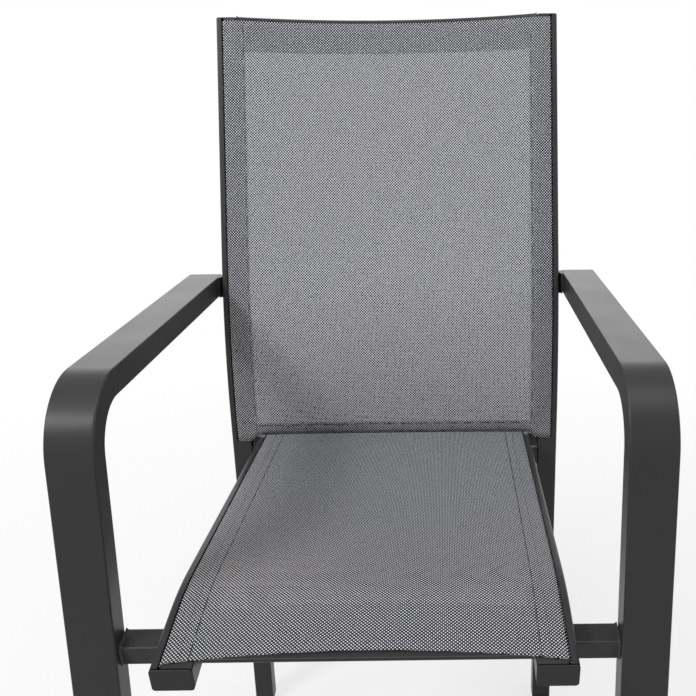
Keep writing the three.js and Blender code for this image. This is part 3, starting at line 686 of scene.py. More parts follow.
BACK_EDGE_HEIGHT = 0.4536
BACK_CORNER_DROP = 0.0088
BACK_TOP_MARGIN = 0.004
post_outer = post_high.x if post_high.x > 0 else -post_low.x
post_inner = post_outer - (post_high.x - post_low.x)
post_groove = post_outer - GROOVE_INSET
back_from = post_line.at_height(BACK_EDGE_HEIGHT)
back_to = post_line.length - BACK_TOP_MARGIN


def groove_outline(x):
    """A keyhole from the slot's right edge, round the cavity, to its left edge."""
    mouth = acos(SLOT_WIDTH / 2 / CAVITY_RADIUS)
    cavity = arc_points(x, -CAVITY_DEPTH, CAVITY_RADIUS, mouth, -pi - mouth, CAVITY_SEGMENTS)
    return [(x + SLOT_WIDTH / 2, 0), *cavity, (x - SLOT_WIDTH / 2, 0)]


def groove_filled(x):
    """As many points as the keyhole has, side by side in the face."""
    count = CAVITY_SEGMENTS + 3
    return [(x + SLOT_WIDTH / 2 - SLOT_WIDTH * i / (count - 1), 0) for i in range(count)]


def make_posts():
    plain, grooved = (
        rounded_section(post_inner, -POST_DEPTH, post_outer, 0, POST_CORNER, insert(post_groove))
        for insert in (groove_filled, groove_outline)
    )
    groove_from = back_from - BACK_CORNER_DROP - CLEARANCE
    below = post_line.stations(0, groove_from, STRAIGHT_STEP)
    above = post_line.stations(groove_from, post_line.length, STRAIGHT_STEP)
    rings = swept(post_line, [(d, plain) for d in below] + [(d, grooved) for d in above])
    pair("back_post", "post", rings, FRAME_LOOK)
    print("posts:", len(rings), "rings each; groove from z", round(post_line.at(groove_from)[1], 3))


make_posts()

# %% [markdown]
# ## Seat rails
# The seat rails are the same kind of extrusion, a little wider, and grooved from end to end.

# %% Rails
RAIL_CORNER = 0.0030
rail_outer = -rail_low.x
rail_inner = -rail_high.x
rail_groove = rail_outer - GROOVE_INSET


def make_rails():
    keyhole = groove_outline(rail_groove)
    outline = rounded_section(rail_inner, -RAIL_HEIGHT, rail_outer, 0, RAIL_CORNER, keyhole)
    stations = rail_line.stations(0, rail_line.length, STRAIGHT_STEP)
    rings = swept(rail_line, [(distance, outline) for distance in stations])
    pair("grooved_seat_rail", "seat_rail", rings, FRAME_LOOK)
    print("rails:", len(rings), "rings each")


make_rails()

# %% [markdown]
# ## Armrests and front legs
# The armrest turns down into the front leg with one tight bend, so the tube needs more stations there.

# %% Arms
ARM_CORNER = 0.002
arm_outer = -arm_low.x
arm_inner = -arm_high.x


def make_arms():
    outline = rounded_section(arm_inner, -ARM_THICKNESS, arm_outer, 0, ARM_CORNER)
    stations = arm_line.stations(0, arm_line.length, STRAIGHT_STEP, radians(3))
    rings = swept(arm_line, [(distance, outline) for distance in stations])
    pair("armrest_and_leg", "arm_and_front_leg", rings, FRAME_LOOK)
    print("arms:", len(rings), "rings each")


make_arms()

# %% [markdown]
# ## Bars, lugs and plates
# What joins the tubes: a bowed bar across the top, two crossbars under the seat, two flat bars between
# the seat rails, and small lugs between seat rail, armrest and post. The ends of the bars are welded on.
# Weld beads could be separate rings, but a bead is a part of both pieces, so the bars' own ends swell a
# little there.

# %% Bars across the chair
TOP_BAR_HEIGHT = 0.038
TOP_BAR_DEPTH = 0.015
TOP_BAR_EDGE = 0.0025
TOP_BAR_RECESS = 0.0006
CAP_HEIGHT = 0.002
BAR_CORNER = 0.003
SPREADER_HEIGHT = 0.010
SPREADER_DROP = 0.0013
SPREADER_DEPTH = 0.024
CROSSBAR_HEIGHT = 0.022
FRONT_CROSSBAR_DEPTH = 0.026
REAR_CROSSBAR_DEPTH = 0.020
BACK_BOW_TOP = 0.022
FRONT_CROSSBAR_AT = 0.0600
REAR_CROSSBAR_FROM_END = 0.0160
FRONT_SPREADER_AT = 0.0300
REAR_SPREADER_FROM_END = 0.0160
BAR_STEP = 0.06
TOP_BAR_STEP = 0.014
WELD = ((0.0, 0.0013), (0.0005, 0.0008), (0.0011, 0.0004), (0.0019, 0.0001), (0.0030, 0.0))


def grown(section, growth):
    """The section, larger all round by that much; its corners stay round."""
    xs = [x for x, _ in section]
    heights = [h for _, h in section]
    middle_x, middle_h = (min(xs) + max(xs)) / 2, (min(heights) + max(heights)) / 2
    scale_x = 1 + 2 * growth / (max(xs) - min(xs))
    scale_h = 1 + 2 * growth / (max(heights) - min(heights))
    return [(middle_x + (x - middle_x) * scale_x, middle_h + (h - middle_h) * scale_h) for x, h in section]


def weld_stations(reach, step):
    """Places from -reach to reach across the chair, and how much the weld swells the bar at each."""
    ends = [(-reach + inward, growth) for inward, growth in WELD]
    count = max(1, round(2 * (reach - WELD[-1][0]) / step))
    first, last = ends[-1][0], -ends[-1][0]
    middle = [(first + (last - first) * i / count, 0.0) for i in range(1, count)]
    return ends + middle + [(-x, growth) for x, growth in reversed(ends)]


def square_to_rail(x, height, distance, along):
    """A point over the seat rail's line at that distance, moved along the rail's slope there."""
    tilt = rail_line.at(distance)[2]
    return rail_line.point(x, height, distance) + Vector((0, along * cos(tilt), along * sin(tilt)))


def straight_bar(name, node, distance, depth, top, height):
    """A bar across the chair, square to the seat rail; top is its upper face's height over the rail's."""
    section = rounded_section(-depth / 2, top - height, depth / 2, top, BAR_CORNER)
    rings = [
        [square_to_rail(x, h, distance, along) for along, h in grown(section, growth)]
        for x, growth in weld_stations(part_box(node)[1].x, BAR_STEP)
    ]
    new_piece(name, *skin(rings), FRAME_LOOK, [node])


def make_top_bar():
    front = -TOP_BAR_RECESS
    bottom = CAP_HEIGHT - TOP_BAR_HEIGHT
    section = rounded_section(front - TOP_BAR_DEPTH, bottom, front, CAP_HEIGHT, TOP_BAR_EDGE)
    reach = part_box("back_top_bar")[1].x
    rings = []
    for x, growth in weld_stations(reach, TOP_BAR_STEP):
        bow = BACK_BOW_TOP * (1 - (x / reach) ** 2)
        bowed = [(h - bow, post_line.length + up) for h, up in grown(section, growth)]
        rings.append([post_line.point(x, h, distance) for h, distance in bowed])
    new_piece("bowed_top_bar", *skin(rings), FRAME_LOOK, ["back_top_bar"])


make_top_bar()
under_rail = -RAIL_HEIGHT - FRONT_CROSSBAR_DEPTH**2 / (8 * (RAIL_BEND_RADIUS - RAIL_HEIGHT)) - CLEARANCE
rear_crossbar_at = rail_line.length - REAR_CROSSBAR_FROM_END
rear_spreader_at = rail_line.length - REAR_SPREADER_FROM_END
crossbar = (under_rail, CROSSBAR_HEIGHT)
spreader = (SPREADER_DEPTH, -SPREADER_DROP, SPREADER_HEIGHT)
straight_bar("welded_front_crossbar", "front_crossbar", FRONT_CROSSBAR_AT, FRONT_CROSSBAR_DEPTH, *crossbar)
straight_bar("welded_rear_crossbar", "rear_crossbar", rear_crossbar_at, REAR_CROSSBAR_DEPTH, *crossbar)
straight_bar("front_spreader_bar", "seat_front_spreader", FRONT_SPREADER_AT, *spreader)
straight_bar("rear_spreader_bar", "seat_rear_spreader", rear_spreader_at, *spreader)
print("bars: 5; the rear crossbar sits at", round(rear_crossbar_at, 4), "along the rail")

# %% [markdown]
# ## Lugs
# Each armrest is welded to its post through a small lug, and so is each seat rail. The armrest's lug
# sweeps back towards the post and swells at its foot, where the weld's fillet runs. A box with a bevel
# would miss both, so it is drawn as a row of sections from the post to the armrest.

# %% Make the lugs
LUG_FILLET = 0.005
LUG_TAPER = 0.014
LUG_CORNER = 0.0015
LUG_STEPS = 8
SEAT_LUG_DROP = 0.003
SEAT_LUG_HEIGHT = 0.019
SEAT_LUG_EDGE = 0.002
SEAT_LUG_FROM = 0.004
SEAT_LUG_TO = 0.020
SEAT_LUG_BEVELS = ((0, 0.0012), (0.0004, 0.0004), (0.0012, 0.0))


def make_arm_lugs():
    """A row of upright sections across the gap: the front sweeps back, and the foot swells at the post."""
    low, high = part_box("arm_lug_right")
    gap = high.x - low.x
    rings = []
    for i in range(LUG_STEPS + 1):
        share = i / LUG_STEPS
        front = low.y + LUG_TAPER * (1 - sin(pi / 2 * share))
        swell = min(1.0, share * gap / LUG_FILLET)
        bottom = low.z + LUG_FILLET * sqrt(1 - (1 - swell) ** 2)
        section = rounded_section(front, bottom, high.y, high.z, LUG_CORNER)
        rings.append([Vector((low.x + gap * share, y, z)) for y, z in section])
    pair("arm_weld_lug", "arm_lug", rings, FRAME_LOOK)


def make_seat_lugs():
    low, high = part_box("seat_lug_right")
    section = rounded_section(low.x, -SEAT_LUG_DROP - SEAT_LUG_HEIGHT, high.x, -SEAT_LUG_DROP, SEAT_LUG_EDGE)
    beside_post = rail_line.length - (rail_high.y - post_low.y) / cos(RAIL_TILT)
    places = [(SEAT_LUG_FROM + inward, less) for inward, less in SEAT_LUG_BEVELS]
    places += [(SEAT_LUG_TO - inward, less) for inward, less in reversed(SEAT_LUG_BEVELS)]
    rings = swept(rail_line, [(beside_post + along, grown(section, -less)) for along, less in places])
    pair("seat_weld_lug", "seat_lug", rings, FRAME_LOOK)


make_arm_lugs()
make_seat_lugs()
print("lugs: 4")

# %% [markdown]
# ## Ends of the tubes
# The posts and the armrests end in thin plates of the same aluminium, welded on and ground round. The
# seat rails end in plastic caps with a stem that plugs into the tube. All are the tube's own section
# carried a few millimetres further, drawn in at the end for the rounded edge. The stems are in the packed
# model and not here, because a closed tube never shows them.

# %% Plates and caps
GROUND_EDGE = ((0.0, 0.0), (0.25, 0.0003), (0.5, 0.0009), (0.75, 0.0018), (0.92, 0.0027), (1.0, 0.0036))
PLATE_EDGE = ((0.0, 0.0005), (0.15, 0.0), (0.55, 0.0), (0.85, 0.0003), (1.0, 0.0009))
SHADOW_GAP = ((0.0, 0.0016), (0.40, 0.0016), (0.41, 0.0004))
FLANGE_EDGE = (*SHADOW_GAP, (0.47, 0.0), (0.80, 0.0), (0.93, 0.0003), (1.0, 0.0009))
PLATE_THICKNESS = 0.0018
FLANGE_THICKNESS = 0.0028


def end_plate(name, node, line, section, edge, thickness, look=FRAME_LOOK, at_start=False):
    """A plate on the end of a tube; edge is how far it is drawn in at each share of its thickness."""
    placed = []
    for share, less in edge:
        beyond = CLEARANCE / 2 + share * thickness
        placed.append((-beyond if at_start else line.length + beyond, grown(section, -less)))
    pair(name, node, swept(line, placed), look)


post_section = rounded_section(post_inner, -POST_DEPTH, post_outer, 0, POST_CORNER)
arm_section = rounded_section(arm_inner, -ARM_THICKNESS, arm_outer, 0, ARM_CORNER)
rail_section = rounded_section(rail_inner, -RAIL_HEIGHT, rail_outer, 0, RAIL_CORNER)
rail_end = (rail_line, rail_section, FLANGE_EDGE, FLANGE_THICKNESS, PLASTIC_LOOK)
end_plate("post_top_plate", "post_cap", post_line, post_section, GROUND_EDGE, PLATE_THICKNESS)
end_plate("arm_rear_plate", "arm_end_plate", arm_line, arm_section, PLATE_EDGE, PLATE_THICKNESS)
end_plate("nose_cap", "seat_rail_front_cap", *rail_end, at_start=True)
end_plate("tail_cap", "seat_rail_rear_cap", *rail_end)
print("end plates and caps: 8")

# %% [markdown]
# ## Foot glides
# Each leg stands on a moulded foot: a pad as wide as the tube, a sole a little smaller, and a stem that
# plugs into the tube. It is drawn as rings from the stem's top to the floor, the last one flat on it.

# %% Glides
TUBE_WALL = 0.002
POST_CHAMBER = 0.012
PAD_END = -0.0040
GLIDE_RINGS = (
    (0.022, "stem", 0.0012),
    (0.0205, "stem", 0.0003),
    (-0.0001, "stem", 0.0003),
    (-0.0003, "pad", 0.0004),
    (-0.0007, "pad", 0.0),
    (-0.0034, "pad", 0.0),
    (PAD_END, "pad", 0.0006),
    (PAD_END, "pad", 0.0015),
)
SOLE_RINGS = ((0.0007, 0.0015), (0.0, 0.0022))


def make_glides(name, node, line, outer, chamber):
    """outer and chamber are the sections of the tube, with as many points each."""
    section_of = {"stem": chamber, "pad": outer}
    rings = swept(line, [(along, grown(section_of[part], -less)) for along, part, less in GLIDE_RINGS])
    heading = line.at(0)[2]
    for above, less in SOLE_RINGS:
        starts = [line.point(x, h, PAD_END) for x, h in grown(outer, -less)]
        runs = [(start.z - above) / sin(heading) for start in starts]
        rings.append([Vector((p.x, p.y - run * cos(heading), above)) for p, run in zip(starts, runs)])
    pair(name, node, rings, PLASTIC_LOOK)


def chamber_section(inner, depth, outer, corner):
    """The hollow inside a tube, between walls on all sides."""
    return rounded_section(inner + TUBE_WALL, -depth + TUBE_WALL, outer, -TUBE_WALL, corner / 2)


post_chamber = chamber_section(post_inner, POST_DEPTH, post_inner + POST_CHAMBER, POST_CORNER)
leg_chamber = chamber_section(arm_inner, ARM_THICKNESS, arm_outer - TUBE_WALL, ARM_CORNER)
make_glides("rear_foot", "rear_glide", post_line, post_section, post_chamber)
make_glides("front_foot", "front_glide", arm_line, arm_section, leg_chamber)
print("feet: 4")

# %% [markdown]
# ## Hem rods
# A round plastic rod fills each hem, too thick to slip back through the slot. It follows its rail's line,
# so it is swept like the rail, from a plain round section.

# %% Rods
ROD_RADIUS = 0.0021
ROD_SIDES = 16
SEAT_SLING_SETBACK = 0.004


def make_rods(name, node, line, groove, start, stop):
    last = ROD_SIDES - 1
    section = arc_points(groove, -CAVITY_DEPTH, ROD_RADIUS, 0, 2 * pi * last / ROD_SIDES, last)
    stations = line.stations(start, stop, STRAIGHT_STEP)
    pair(name, node, swept(line, [(distance, section) for distance in stations]), PLASTIC_LOOK)


seat_cloth_end = rail_line.length - CLEARANCE
make_rods("back_hem_rod", "back_spline", post_line, post_groove, back_from - BACK_CORNER_DROP, back_to)
make_rods("seat_hem_rod", "seat_spline", rail_line, rail_groove, SEAT_SLING_SETBACK, seat_cloth_end)
print("rods: 4")

# %% [markdown]
# ## Bolts and nuts
# Button-head bolts hold the seat rails on the crossbars from below, and their nuts sit inside the rails.
# A turned part is a stack of rings round one axis. The socket and the nut have six flats, and their rings
# have as many points as the round ones, so every ring still joins the next.

# %% Turned parts
TURNED_SEGMENTS = 24
RAIL_WALL = 0.002
bolt_x = (rail_inner + RAIL_WALL + rail_groove - CAVITY_RADIUS - RAIL_WALL) / 2


def turned_ring(distance, radius, height, six_sided):
    """A ring round an axis square to the seat rail; a six-sided one is a hexagon with that outer radius."""
    ring = []
    for i in range(TURNED_SEGMENTS):
        angle = 2 * pi * i / TURNED_SEGMENTS
        off = (angle + pi / 6) % (pi / 3) - pi / 6
        flat = cos(pi / 6) / cos(off) if six_sided else 1.0
        across, along = radius * flat * cos(angle), radius * flat * sin(angle)
        ring.append(square_to_rail(bolt_x + across, height, distance, along))
    return ring


print("helper: turned_ring; the bolts stand at x", round(bolt_x, 4), "on both sides")

# %% [markdown]
# A bolt's outline is walked from its tip to its dome and turned once. A nut's goes out along its flats
# and back through the bore, so that it closes on itself.

# %% Bolts and nuts
BOLT_RADIUS = 0.003
BOLT_TIP = 0.003
TIP_BEVEL = (0.0006, 0.0005)
HEAD_RADIUS = 0.0055
HEAD_HEIGHT = 0.0033
DOME_SHARE = 0.85
DOME_ANGLES = (radians(32), radians(50), radians(70), radians(90))
SOCKET_RADIUS = 0.0021
SOCKET_DEPTH = 0.002
SOCKET_RIM = (1.15, 0.0002)
NUT_RADIUS = 0.005
NUT_HEIGHT = 0.005
NUT_PROFILE = ((0.9, 0.0, False), (1.0, 0.0006, True), (1.0, 0.0038, True), (0.8, 0.0042, False))
NUT_TOP_SHARE = 0.75


def make_bolts(end, distance):
    head_top = under_rail - CROSSBAR_HEIGHT - CLEARANCE
    head_bottom = head_top - HEAD_HEIGHT
    nut_bottom = -RAIL_HEIGHT + RAIL_WALL + CLEARANCE
    nut_top = nut_bottom + NUT_HEIGHT
    tip = nut_top + BOLT_TIP
    dome = HEAD_HEIGHT * DOME_SHARE
    bolt = [
        (SOCKET_RADIUS, head_bottom + SOCKET_DEPTH, True),
        (SOCKET_RADIUS, head_bottom + SOCKET_RIM[1], True),
        (SOCKET_RADIUS * SOCKET_RIM[0], head_bottom, False),
        *((HEAD_RADIUS * sin(a), head_bottom + dome * (1 - cos(a)), False) for a in DOME_ANGLES),
        (HEAD_RADIUS, head_top, False),
        (BOLT_RADIUS, head_top, False),
        (BOLT_RADIUS, tip - TIP_BEVEL[1], False),
        (BOLT_RADIUS - TIP_BEVEL[0], tip, False),
    ]
    bore = BOLT_RADIUS + CLEARANCE
    nut = [
        (bore, nut_bottom, False),
        *((NUT_RADIUS * share, nut_bottom + up, six_sided) for share, up, six_sided in NUT_PROFILE),
        (NUT_RADIUS * NUT_TOP_SHARE, nut_top, False),
        (bore, nut_top, False),
    ]
    bolt_rings, nut_rings = ([turned_ring(distance, *ring) for ring in turned] for turned in (bolt, nut))
    pair(f"button_bolt_{end}", f"seat_bolt_{end}", bolt_rings, STEEL_LOOK)
    pair(f"lock_nut_{end}", f"seat_nut_{end}", nut_rings, STEEL_LOOK, closed=True)


make_bolts("front", FRONT_CROSSBAR_AT)
make_bolts("rear", rear_crossbar_at)
print("bolts and nuts: 8")

# %% [markdown]
# ## The slings
# A sling is one sheet of mesh. Each long edge is turned back and sewn into a hem, the hem holds a plastic
# rod, and rod and hem slide into the rail's groove from its end, so the fabric can't pull out. Cloth
# simulation could stretch a sheet between two rails, but tight cloth hardly moves: it would only add
# wrinkles that a stretched sling doesn't have. So the sheet is drawn as what tension makes of it:
# straight across from rail to rail, with a slight bow, and its section follows the real path of the
# cloth: from the seam, out under the face, down the slot, round the rod, up again and across to the other
# side.

# %% Section of a sling
LAYER = 0.0003
UNDER_LIE = 0.00052
FACE_LIE = 0.00106
WRAP_RADIUS = 0.0025
WRAP_START = radians(80)
WRAP_TURN = radians(318)
SLOT_INNER_LAYER = 0.00115
SLOT_OUTER_LAYER = 0.00058
DOWN_SEGMENTS = 5
WRAP_SEGMENTS = 20
UP_SEGMENTS = 4
UP_TURN_SHARE = 0.6
COLUMN_STEP = 0.005
SEAM_DENT = 0.00028
SEAM_REACH = 0.0018
SEAM_OFFSETS = (-0.0018, -0.0009, 0.0, 0.0009, 0.0018)


def hem_section(groove, hem_width):
    """The right-hand hem as (x, height): down the slot, round the rod, up again and back to the seam."""
    outer = groove - SLOT_OUTER_LAYER
    inner = groove - SLOT_INNER_LAYER
    turn = SLOT_WIDTH / 2
    down = arc_points(outer - turn, FACE_LIE - turn, turn, pi / 2, 0, DOWN_SEGMENTS)
    wrap = arc_points(groove, -CAVITY_DEPTH, WRAP_RADIUS, WRAP_START, WRAP_START - WRAP_TURN, WRAP_SEGMENTS)
    small = turn * UP_TURN_SHARE
    start = inner - small
    up = arc_points(start, UNDER_LIE - small, small, 0, pi / 2, UP_SEGMENTS)
    steps = max(2, round((start - (groove - hem_width)) / COLUMN_STEP))
    behind = [(start + (groove - hem_width - start) * i / steps, UNDER_LIE) for i in range(1, steps + 1)]
    return down + wrap + up + behind


def across_points(groove, seams):
    """Columns over the face, from the left rail to the right, with extra ones beside each seam."""
    edge = groove - SLOT_OUTER_LAYER - SLOT_WIDTH / 2
    count = round(2 * edge / COLUMN_STEP)
    even = [edge * (2 * i / count - 1) for i in range(1, count)]
    near = [side * (seam + offset) for seam in seams for side in (-1, 1) for offset in SEAM_OFFSETS]
    kept = [x for x in even if all(abs(x - y) > COLUMN_STEP * 0.4 for y in near)]
    return sorted(kept + near)


def seam_dent(x, seams):
    """How deep the stitches pull the face in, at x across the chair."""
    return sum(SEAM_DENT * max(0.0, 1 - abs(abs(x) - seam) / SEAM_REACH) ** 2 for seam in seams)


def sling_section(groove, hem_width, seams):
    """The whole section from seam to seam, with how far along the cloth each point is."""
    right = hem_section(groove, hem_width)
    left = [(-x, height) for x, height in reversed(right)]
    face = [(x, FACE_LIE) for x in across_points(groove, seams)]
    section = left + face + right
    lengths = [0.0]
    for (x, h), (next_x, next_h) in zip(section, section[1:]):
        lengths.append(lengths[-1] + hypot(next_x - x, next_h - h))
    middle = lengths[-1] / 2
    return section, [length - middle for length in lengths]


print("helpers: hem_section, across_points, seam_dent, sling_section")

# %% [markdown]
# The section then travels along the rails. Its coordinates in the cloth, in metres, go with it, because
# the weave is worked out from them.

# %% A sling along its rails
ROW_STEP = 0.008


def folded_weave(section, lengths):
    """The weave's place across the cloth: in a hem, black squares lie behind the light ones in front."""
    first = next(i for i, (x, height) in enumerate(section) if x > 0 and height == UNDER_LIE)
    pairs = round((lengths[first] + section[first][0]) / (2 * SQUARE_WIDTH))
    fold = pairs * 2 * SQUARE_WIDTH
    return [
        copysign(fold - abs(x), x) if height == UNDER_LIE else length
        for (x, height), length in zip(section, lengths)
    ]


def smooth(share):
    share = min(max(share, 0.0), 1.0)
    return share * share * (3 - 2 * share)


def cloth_sheet(name, grid, cloth_at):
    """A thin sheet from a grid of points; cloth_at gives the cloth's own place, in metres, for its weave."""
    rows, columns = len(grid), len(grid[0])
    points = [point for row in grid for point in row]
    faces = [
        (a, a + 1, a + 1 + columns, a + columns)
        for row in range(rows - 1)
        for a in range(row * columns, row * columns + columns - 1)
    ]
    mesh = bpy.data.meshes.new(name)
    mesh.from_pydata([tuple(p) for p in points], [], faces)
    layer = mesh.uv_layers.new(name="cloth")
    for loop in mesh.loops:
        row, column = divmod(loop.vertex_index, columns)
        layer.data[loop.index].uv = cloth_at(row, column)
    mesh.shade_smooth()
    mesh.materials.append(fabric)
    sheet = bpy.data.objects.new(name, mesh)
    bpy.context.collection.objects.link(sheet)
    solid = sheet.modifiers.new("thickness", "SOLIDIFY")
    solid.thickness = LAYER
    solid.offset = 0
    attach(sheet, ROOT)
    return sheet


def make_sling(name, node, line, edges, half_span, bow, groove, hem_width, seams):
    """A sling on that line; edges give its ends at x, bow how far it hangs behind, seams its dents."""
    section, cloth_x = sling_section(groove, hem_width, seams)
    weave_x = folded_weave(section, cloth_x)
    start, stop = edges[0](groove), edges[1](groove)
    distances = line.stations(start, stop, ROW_STEP, radians(2))
    shares = [(distance - start) / (stop - start) for distance in distances]
    grid = []
    for share in shares:
        row = []
        for x, height in section:
            distance = edges[0](abs(x)) + (edges[1](abs(x)) - edges[0](abs(x))) * share
            free = max(0.0, 1 - (x / half_span) ** 2)
            dent = seam_dent(x, seams) if height == FACE_LIE else 0
            lift = height - bow(share) * free - dent
            row.append(line.point(x, lift, distance))
        grid.append(row)

    def cloth_at(row, column):
        x = min(abs(section[column][0]), groove)
        distance = edges[0](x) + (edges[1](x) - edges[0](x)) * shares[row]
        return weave_x[column], distance

    sheet = cloth_sheet(name, grid, cloth_at)
    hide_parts(node)
    width = cloth_x[-1] - cloth_x[0]
    print(f"{name}: {len(grid)} rows of {len(section)}, cut {width:.3f} x {stop - start:.3f}")
    return sheet, (width, stop - start)


print("helpers: folded_weave, smooth, cloth_sheet, make_sling")

# %% [markdown]
# ## Back sling
# The back's side hems are about 30 mm wide, its top hem 41 mm and its bottom hem 17 mm. Two layers there
# let less of the white background through the pinholes, so the hems look like a darker border. The lower
# edge hangs a little lower where it meets the posts. The middle of the cloth lies behind the posts'
# faces, and more so at the top, where the bar that holds it is bowed.

# %% Make the back sling
BACK_HEM = 0.0295
BACK_BOW_BOTTOM = 0.003
BACK_DROP_FROM = rail_outer + 0.0005
BACK_DROP_TO = post_inner - 0.001
BACK_TOP_HEM = 0.041
BACK_BOTTOM_HEM = 0.0170


def back_lower_edge(x):
    return back_from - BACK_CORNER_DROP * smooth((x - BACK_DROP_FROM) / (BACK_DROP_TO - BACK_DROP_FROM))


def back_upper_edge(x):
    return back_to


def back_bow(share):
    return BACK_BOW_BOTTOM + (BACK_BOW_TOP - BACK_BOW_BOTTOM) * share * share


BACK = (post_line, (back_lower_edge, back_upper_edge), post_inner, back_bow)
back_hems = (post_groove, BACK_HEM, [post_groove - BACK_HEM])
back_cloth, back_flat = make_sling("back_sling_cloth", "back_sling", *BACK, *back_hems)

# %% [markdown]
# ## Seat sling
# The seat's side hems carry two rows of stitching, and its front end is turned under over 60 mm. The
# front edge curves back a little in the middle, and the cloth hangs a few millimetres below the line
# between the rails.

# %% Make the seat sling
SEAT_HEM = 0.028
SEAT_FRONT_HEM = 0.060
SEAT_SAG = 0.006
SEAT_FRONT_SCOOP = 0.013
SEAT_SEAMS = (0.0150, 0.0245)


def seat_front_edge(x):
    return SEAT_SLING_SETBACK + SEAT_FRONT_SCOOP * (1 - (x / rail_groove) ** 2)


def seat_rear_edge(x):
    return seat_cloth_end


def seat_sag(share):
    return SEAT_SAG * sin(pi * share) ** 2


SEAT = (rail_line, (seat_front_edge, seat_rear_edge), rail_inner, seat_sag)
seat_seams = [rail_groove - seam for seam in SEAT_SEAMS]
seat_hems = (rail_groove, SEAT_HEM, seat_seams)
seat_cloth, seat_flat = make_sling("seat_sling_cloth", "seat_sling", *SEAT, *seat_hems)

# %% [markdown]
# ## Turned hems
# The back's upper and lower ends and the seat's front end are turned under as well. Where the cloth is
# double, fewer pinholes show white, so each hem looks like a darker band. The turned part could be a fold
# of the sheet itself, but the side hems are in its way at the corners. Here it is a second sheet that
# lies close behind the first, follows the same bow, and is shifted by one square of the weave.

# %% Turned ends
TURNED_LIE = FACE_LIE - 0.00056
TURNED_STEP = 0.01
TURNED_ROW_STEP = 0.006
EDGE_INSET = 0.0004


def turned_end(name, line, edges, half_span, bow, reach, begin, end, at_top=False):
    """A layer behind the sling, from begin to end as measured from the sling's lower or upper edge."""
    edge = edges[1] if at_top else edges[0]
    columns = round(2 * reach / TURNED_STEP)
    xs = [reach * (2 * i / columns - 1) for i in range(columns + 1)]
    rows = max(3, round((end - begin) / TURNED_ROW_STEP))
    inwards = [begin + (end - begin) * i / rows for i in range(rows + 1)]
    along = [[edge(abs(x)) + inward for x in xs] for inward in inwards]
    start, stop = edges[0](half_span), edges[1](half_span)

    def placed(x, distance):
        share = min(1.0, max(0.0, (distance - start) / (stop - start)))
        free = max(0.0, 1 - (x / half_span) ** 2)
        return line.point(x, TURNED_LIE - bow(share) * free, distance)

    grid = [[placed(x, distance) for x, distance in zip(xs, row)] for row in along]
    return cloth_sheet(name, grid, lambda row, column: (xs[column] + SQUARE_WIDTH, along[row][column]))


back_reach = post_groove - BACK_HEM
seat_reach = rail_groove - SEAT_HEM
back_top_hem = turned_end("back_top_hem", *BACK, back_reach, -BACK_TOP_HEM, -EDGE_INSET, at_top=True)
back_bottom_hem = turned_end("back_bottom_hem", *BACK, back_reach, EDGE_INSET, BACK_BOTTOM_HEM)
seat_front_hem = turned_end("seat_front_hem", *SEAT, seat_reach, EDGE_INSET, SEAT_FRONT_HEM)
print("turned hems:", back_top_hem.name, back_bottom_hem.name, seat_front_hem.name)

# %% [markdown]
# ## Stitches
# The hems are closed with a lockstitch. On the seat two rows of black thread run along each side and show
# as thin dark lines across the weave; grey thread closes the back's side and top hems and hardly shows. A
# dark line in the material would be flat and would need its own map. Each stitch is real thread here: a
# short bead that comes up through the cloth, lies on it and dives again.

# %% A row of stitches
STITCH_LENGTH = 0.0034
STITCH_GAP = 0.0009
THREAD_RADIUS = 0.00042
THREAD_SIDES = 6
THREAD_ARCH = (
    (0.0, -0.0005, 0.7),
    (0.12, 0.0001, 1.0),
    (0.5, 0.00022, 1.0),
    (0.88, 0.0001, 1.0),
    (1.0, -0.0005, 0.7),
)


def stitch_row(name, yarn, length, on_cloth):
    """Stitches along a row; on_cloth gives the point at a distance and the way out of the cloth."""
    pitch = STITCH_LENGTH + STITCH_GAP
    angles = [2 * pi * i / THREAD_SIDES for i in range(THREAD_SIDES)]
    points, faces = [], []
    for number in range(int(length / pitch)):
        low, out = on_cloth(number * pitch)
        high = on_cloth(number * pitch + STITCH_LENGTH)[0]
        side = (high - low).normalized().cross(out).normalized()
        rings = []
        for share, lift, girth in THREAD_ARCH:
            middle = low.lerp(high, share) + out * lift
            thick = THREAD_RADIUS * girth
            rings.append([middle + thick * (side * cos(angle) + out * sin(angle)) for angle in angles])
        first = len(points)
        stitch_points, stitch_faces = skin(rings)
        points += stitch_points
        faces += [tuple(first + i for i in face) for face in stitch_faces]
    return new_piece(name, points, faces, (yarn, "sling_fabric"), sharp_angle=80)


print("a stitch is", STITCH_LENGTH, "long, and the next one starts", STITCH_GAP, "further on")

# %% [markdown]
# Beside each rail a row follows the groove at a seam's distance. Across the back's hems a row runs from
# side to side: a grey one at the top, and a black and a grey one at the bottom.

# %% Where the rows run
BACK_SEAM_INSET = 0.0025
BACK_BOTTOM_SEAMS = ((BACK_BOTTOM_HEM - 0.003, black_thread), (0.0055, grey_thread))


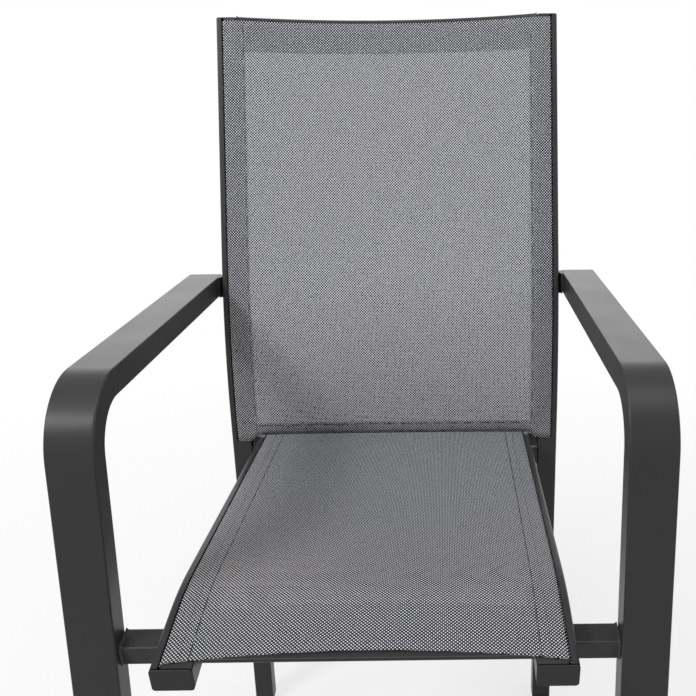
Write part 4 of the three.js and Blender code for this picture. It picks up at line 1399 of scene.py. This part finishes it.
def along_sling(line, edges, half_span, bow, x):
    """A row along the sling, at x across the chair."""
    start, stop = edges[0](abs(x)), edges[1](abs(x))
    free = max(0.0, 1 - (x / half_span) ** 2)

    def on_cloth(distance):
        share = distance / (stop - start)
        lift = FACE_LIE + LAYER / 2 - SEAM_DENT - bow(share) * free
        point = line.point(x, lift, start + distance)
        return point, line.point(x, lift + 1, start + distance) - point

    return stop - start, on_cloth


def across_sling(line, edges, half_span, bow, reach, inward, at_top=False):
    """A row across the sling, at a distance in from its lower or its upper edge."""

    def on_cloth(distance):
        x = distance - reach
        along = edges[1](abs(x)) - inward if at_top else edges[0](abs(x)) + inward
        share = (along - edges[0](half_span)) / (edges[1](half_span) - edges[0](half_span))
        lift = FACE_LIE + LAYER / 2 - bow(share) * max(0.0, 1 - (x / half_span) ** 2)
        point = line.point(x, lift, along)
        return point, line.point(x, lift + 1, along) - point

    return 2 * reach, on_cloth


seat_rows = [
    stitch_row(f"seat_stitches_{side}_{number + 1}", black_thread, *along_sling(*SEAT, sign * seam))
    for side, sign in SIDES
    for number, seam in enumerate(seat_seams)
]
back_seam = back_reach + BACK_SEAM_INSET
back_rows = [
    stitch_row(f"back_stitches_{side}", grey_thread, *along_sling(*BACK, sign * back_seam))
    for side, sign in SIDES
]
top_row = across_sling(*BACK, back_reach, BACK_TOP_HEM - BACK_SEAM_INSET, at_top=True)
back_rows.append(stitch_row("back_top_stitches", grey_thread, *top_row))
for number, (inward, yarn) in enumerate(BACK_BOTTOM_SEAMS):
    row = across_sling(*BACK, back_reach, inward)
    back_rows.append(stitch_row(f"back_bottom_stitches_{number + 1}", yarn, *row))
print("rows of stitches:", len(seat_rows) + len(back_rows))

# %% [markdown]
# ## The slings' cut sizes
# A sling is cloth. Here the size that each one would be cut to is printed.

for name, flat in (("back", back_flat), ("seat", seat_flat)):
    print(f"{name} sling, flat: {flat[0]:.3f} x {flat[1]:.3f}")
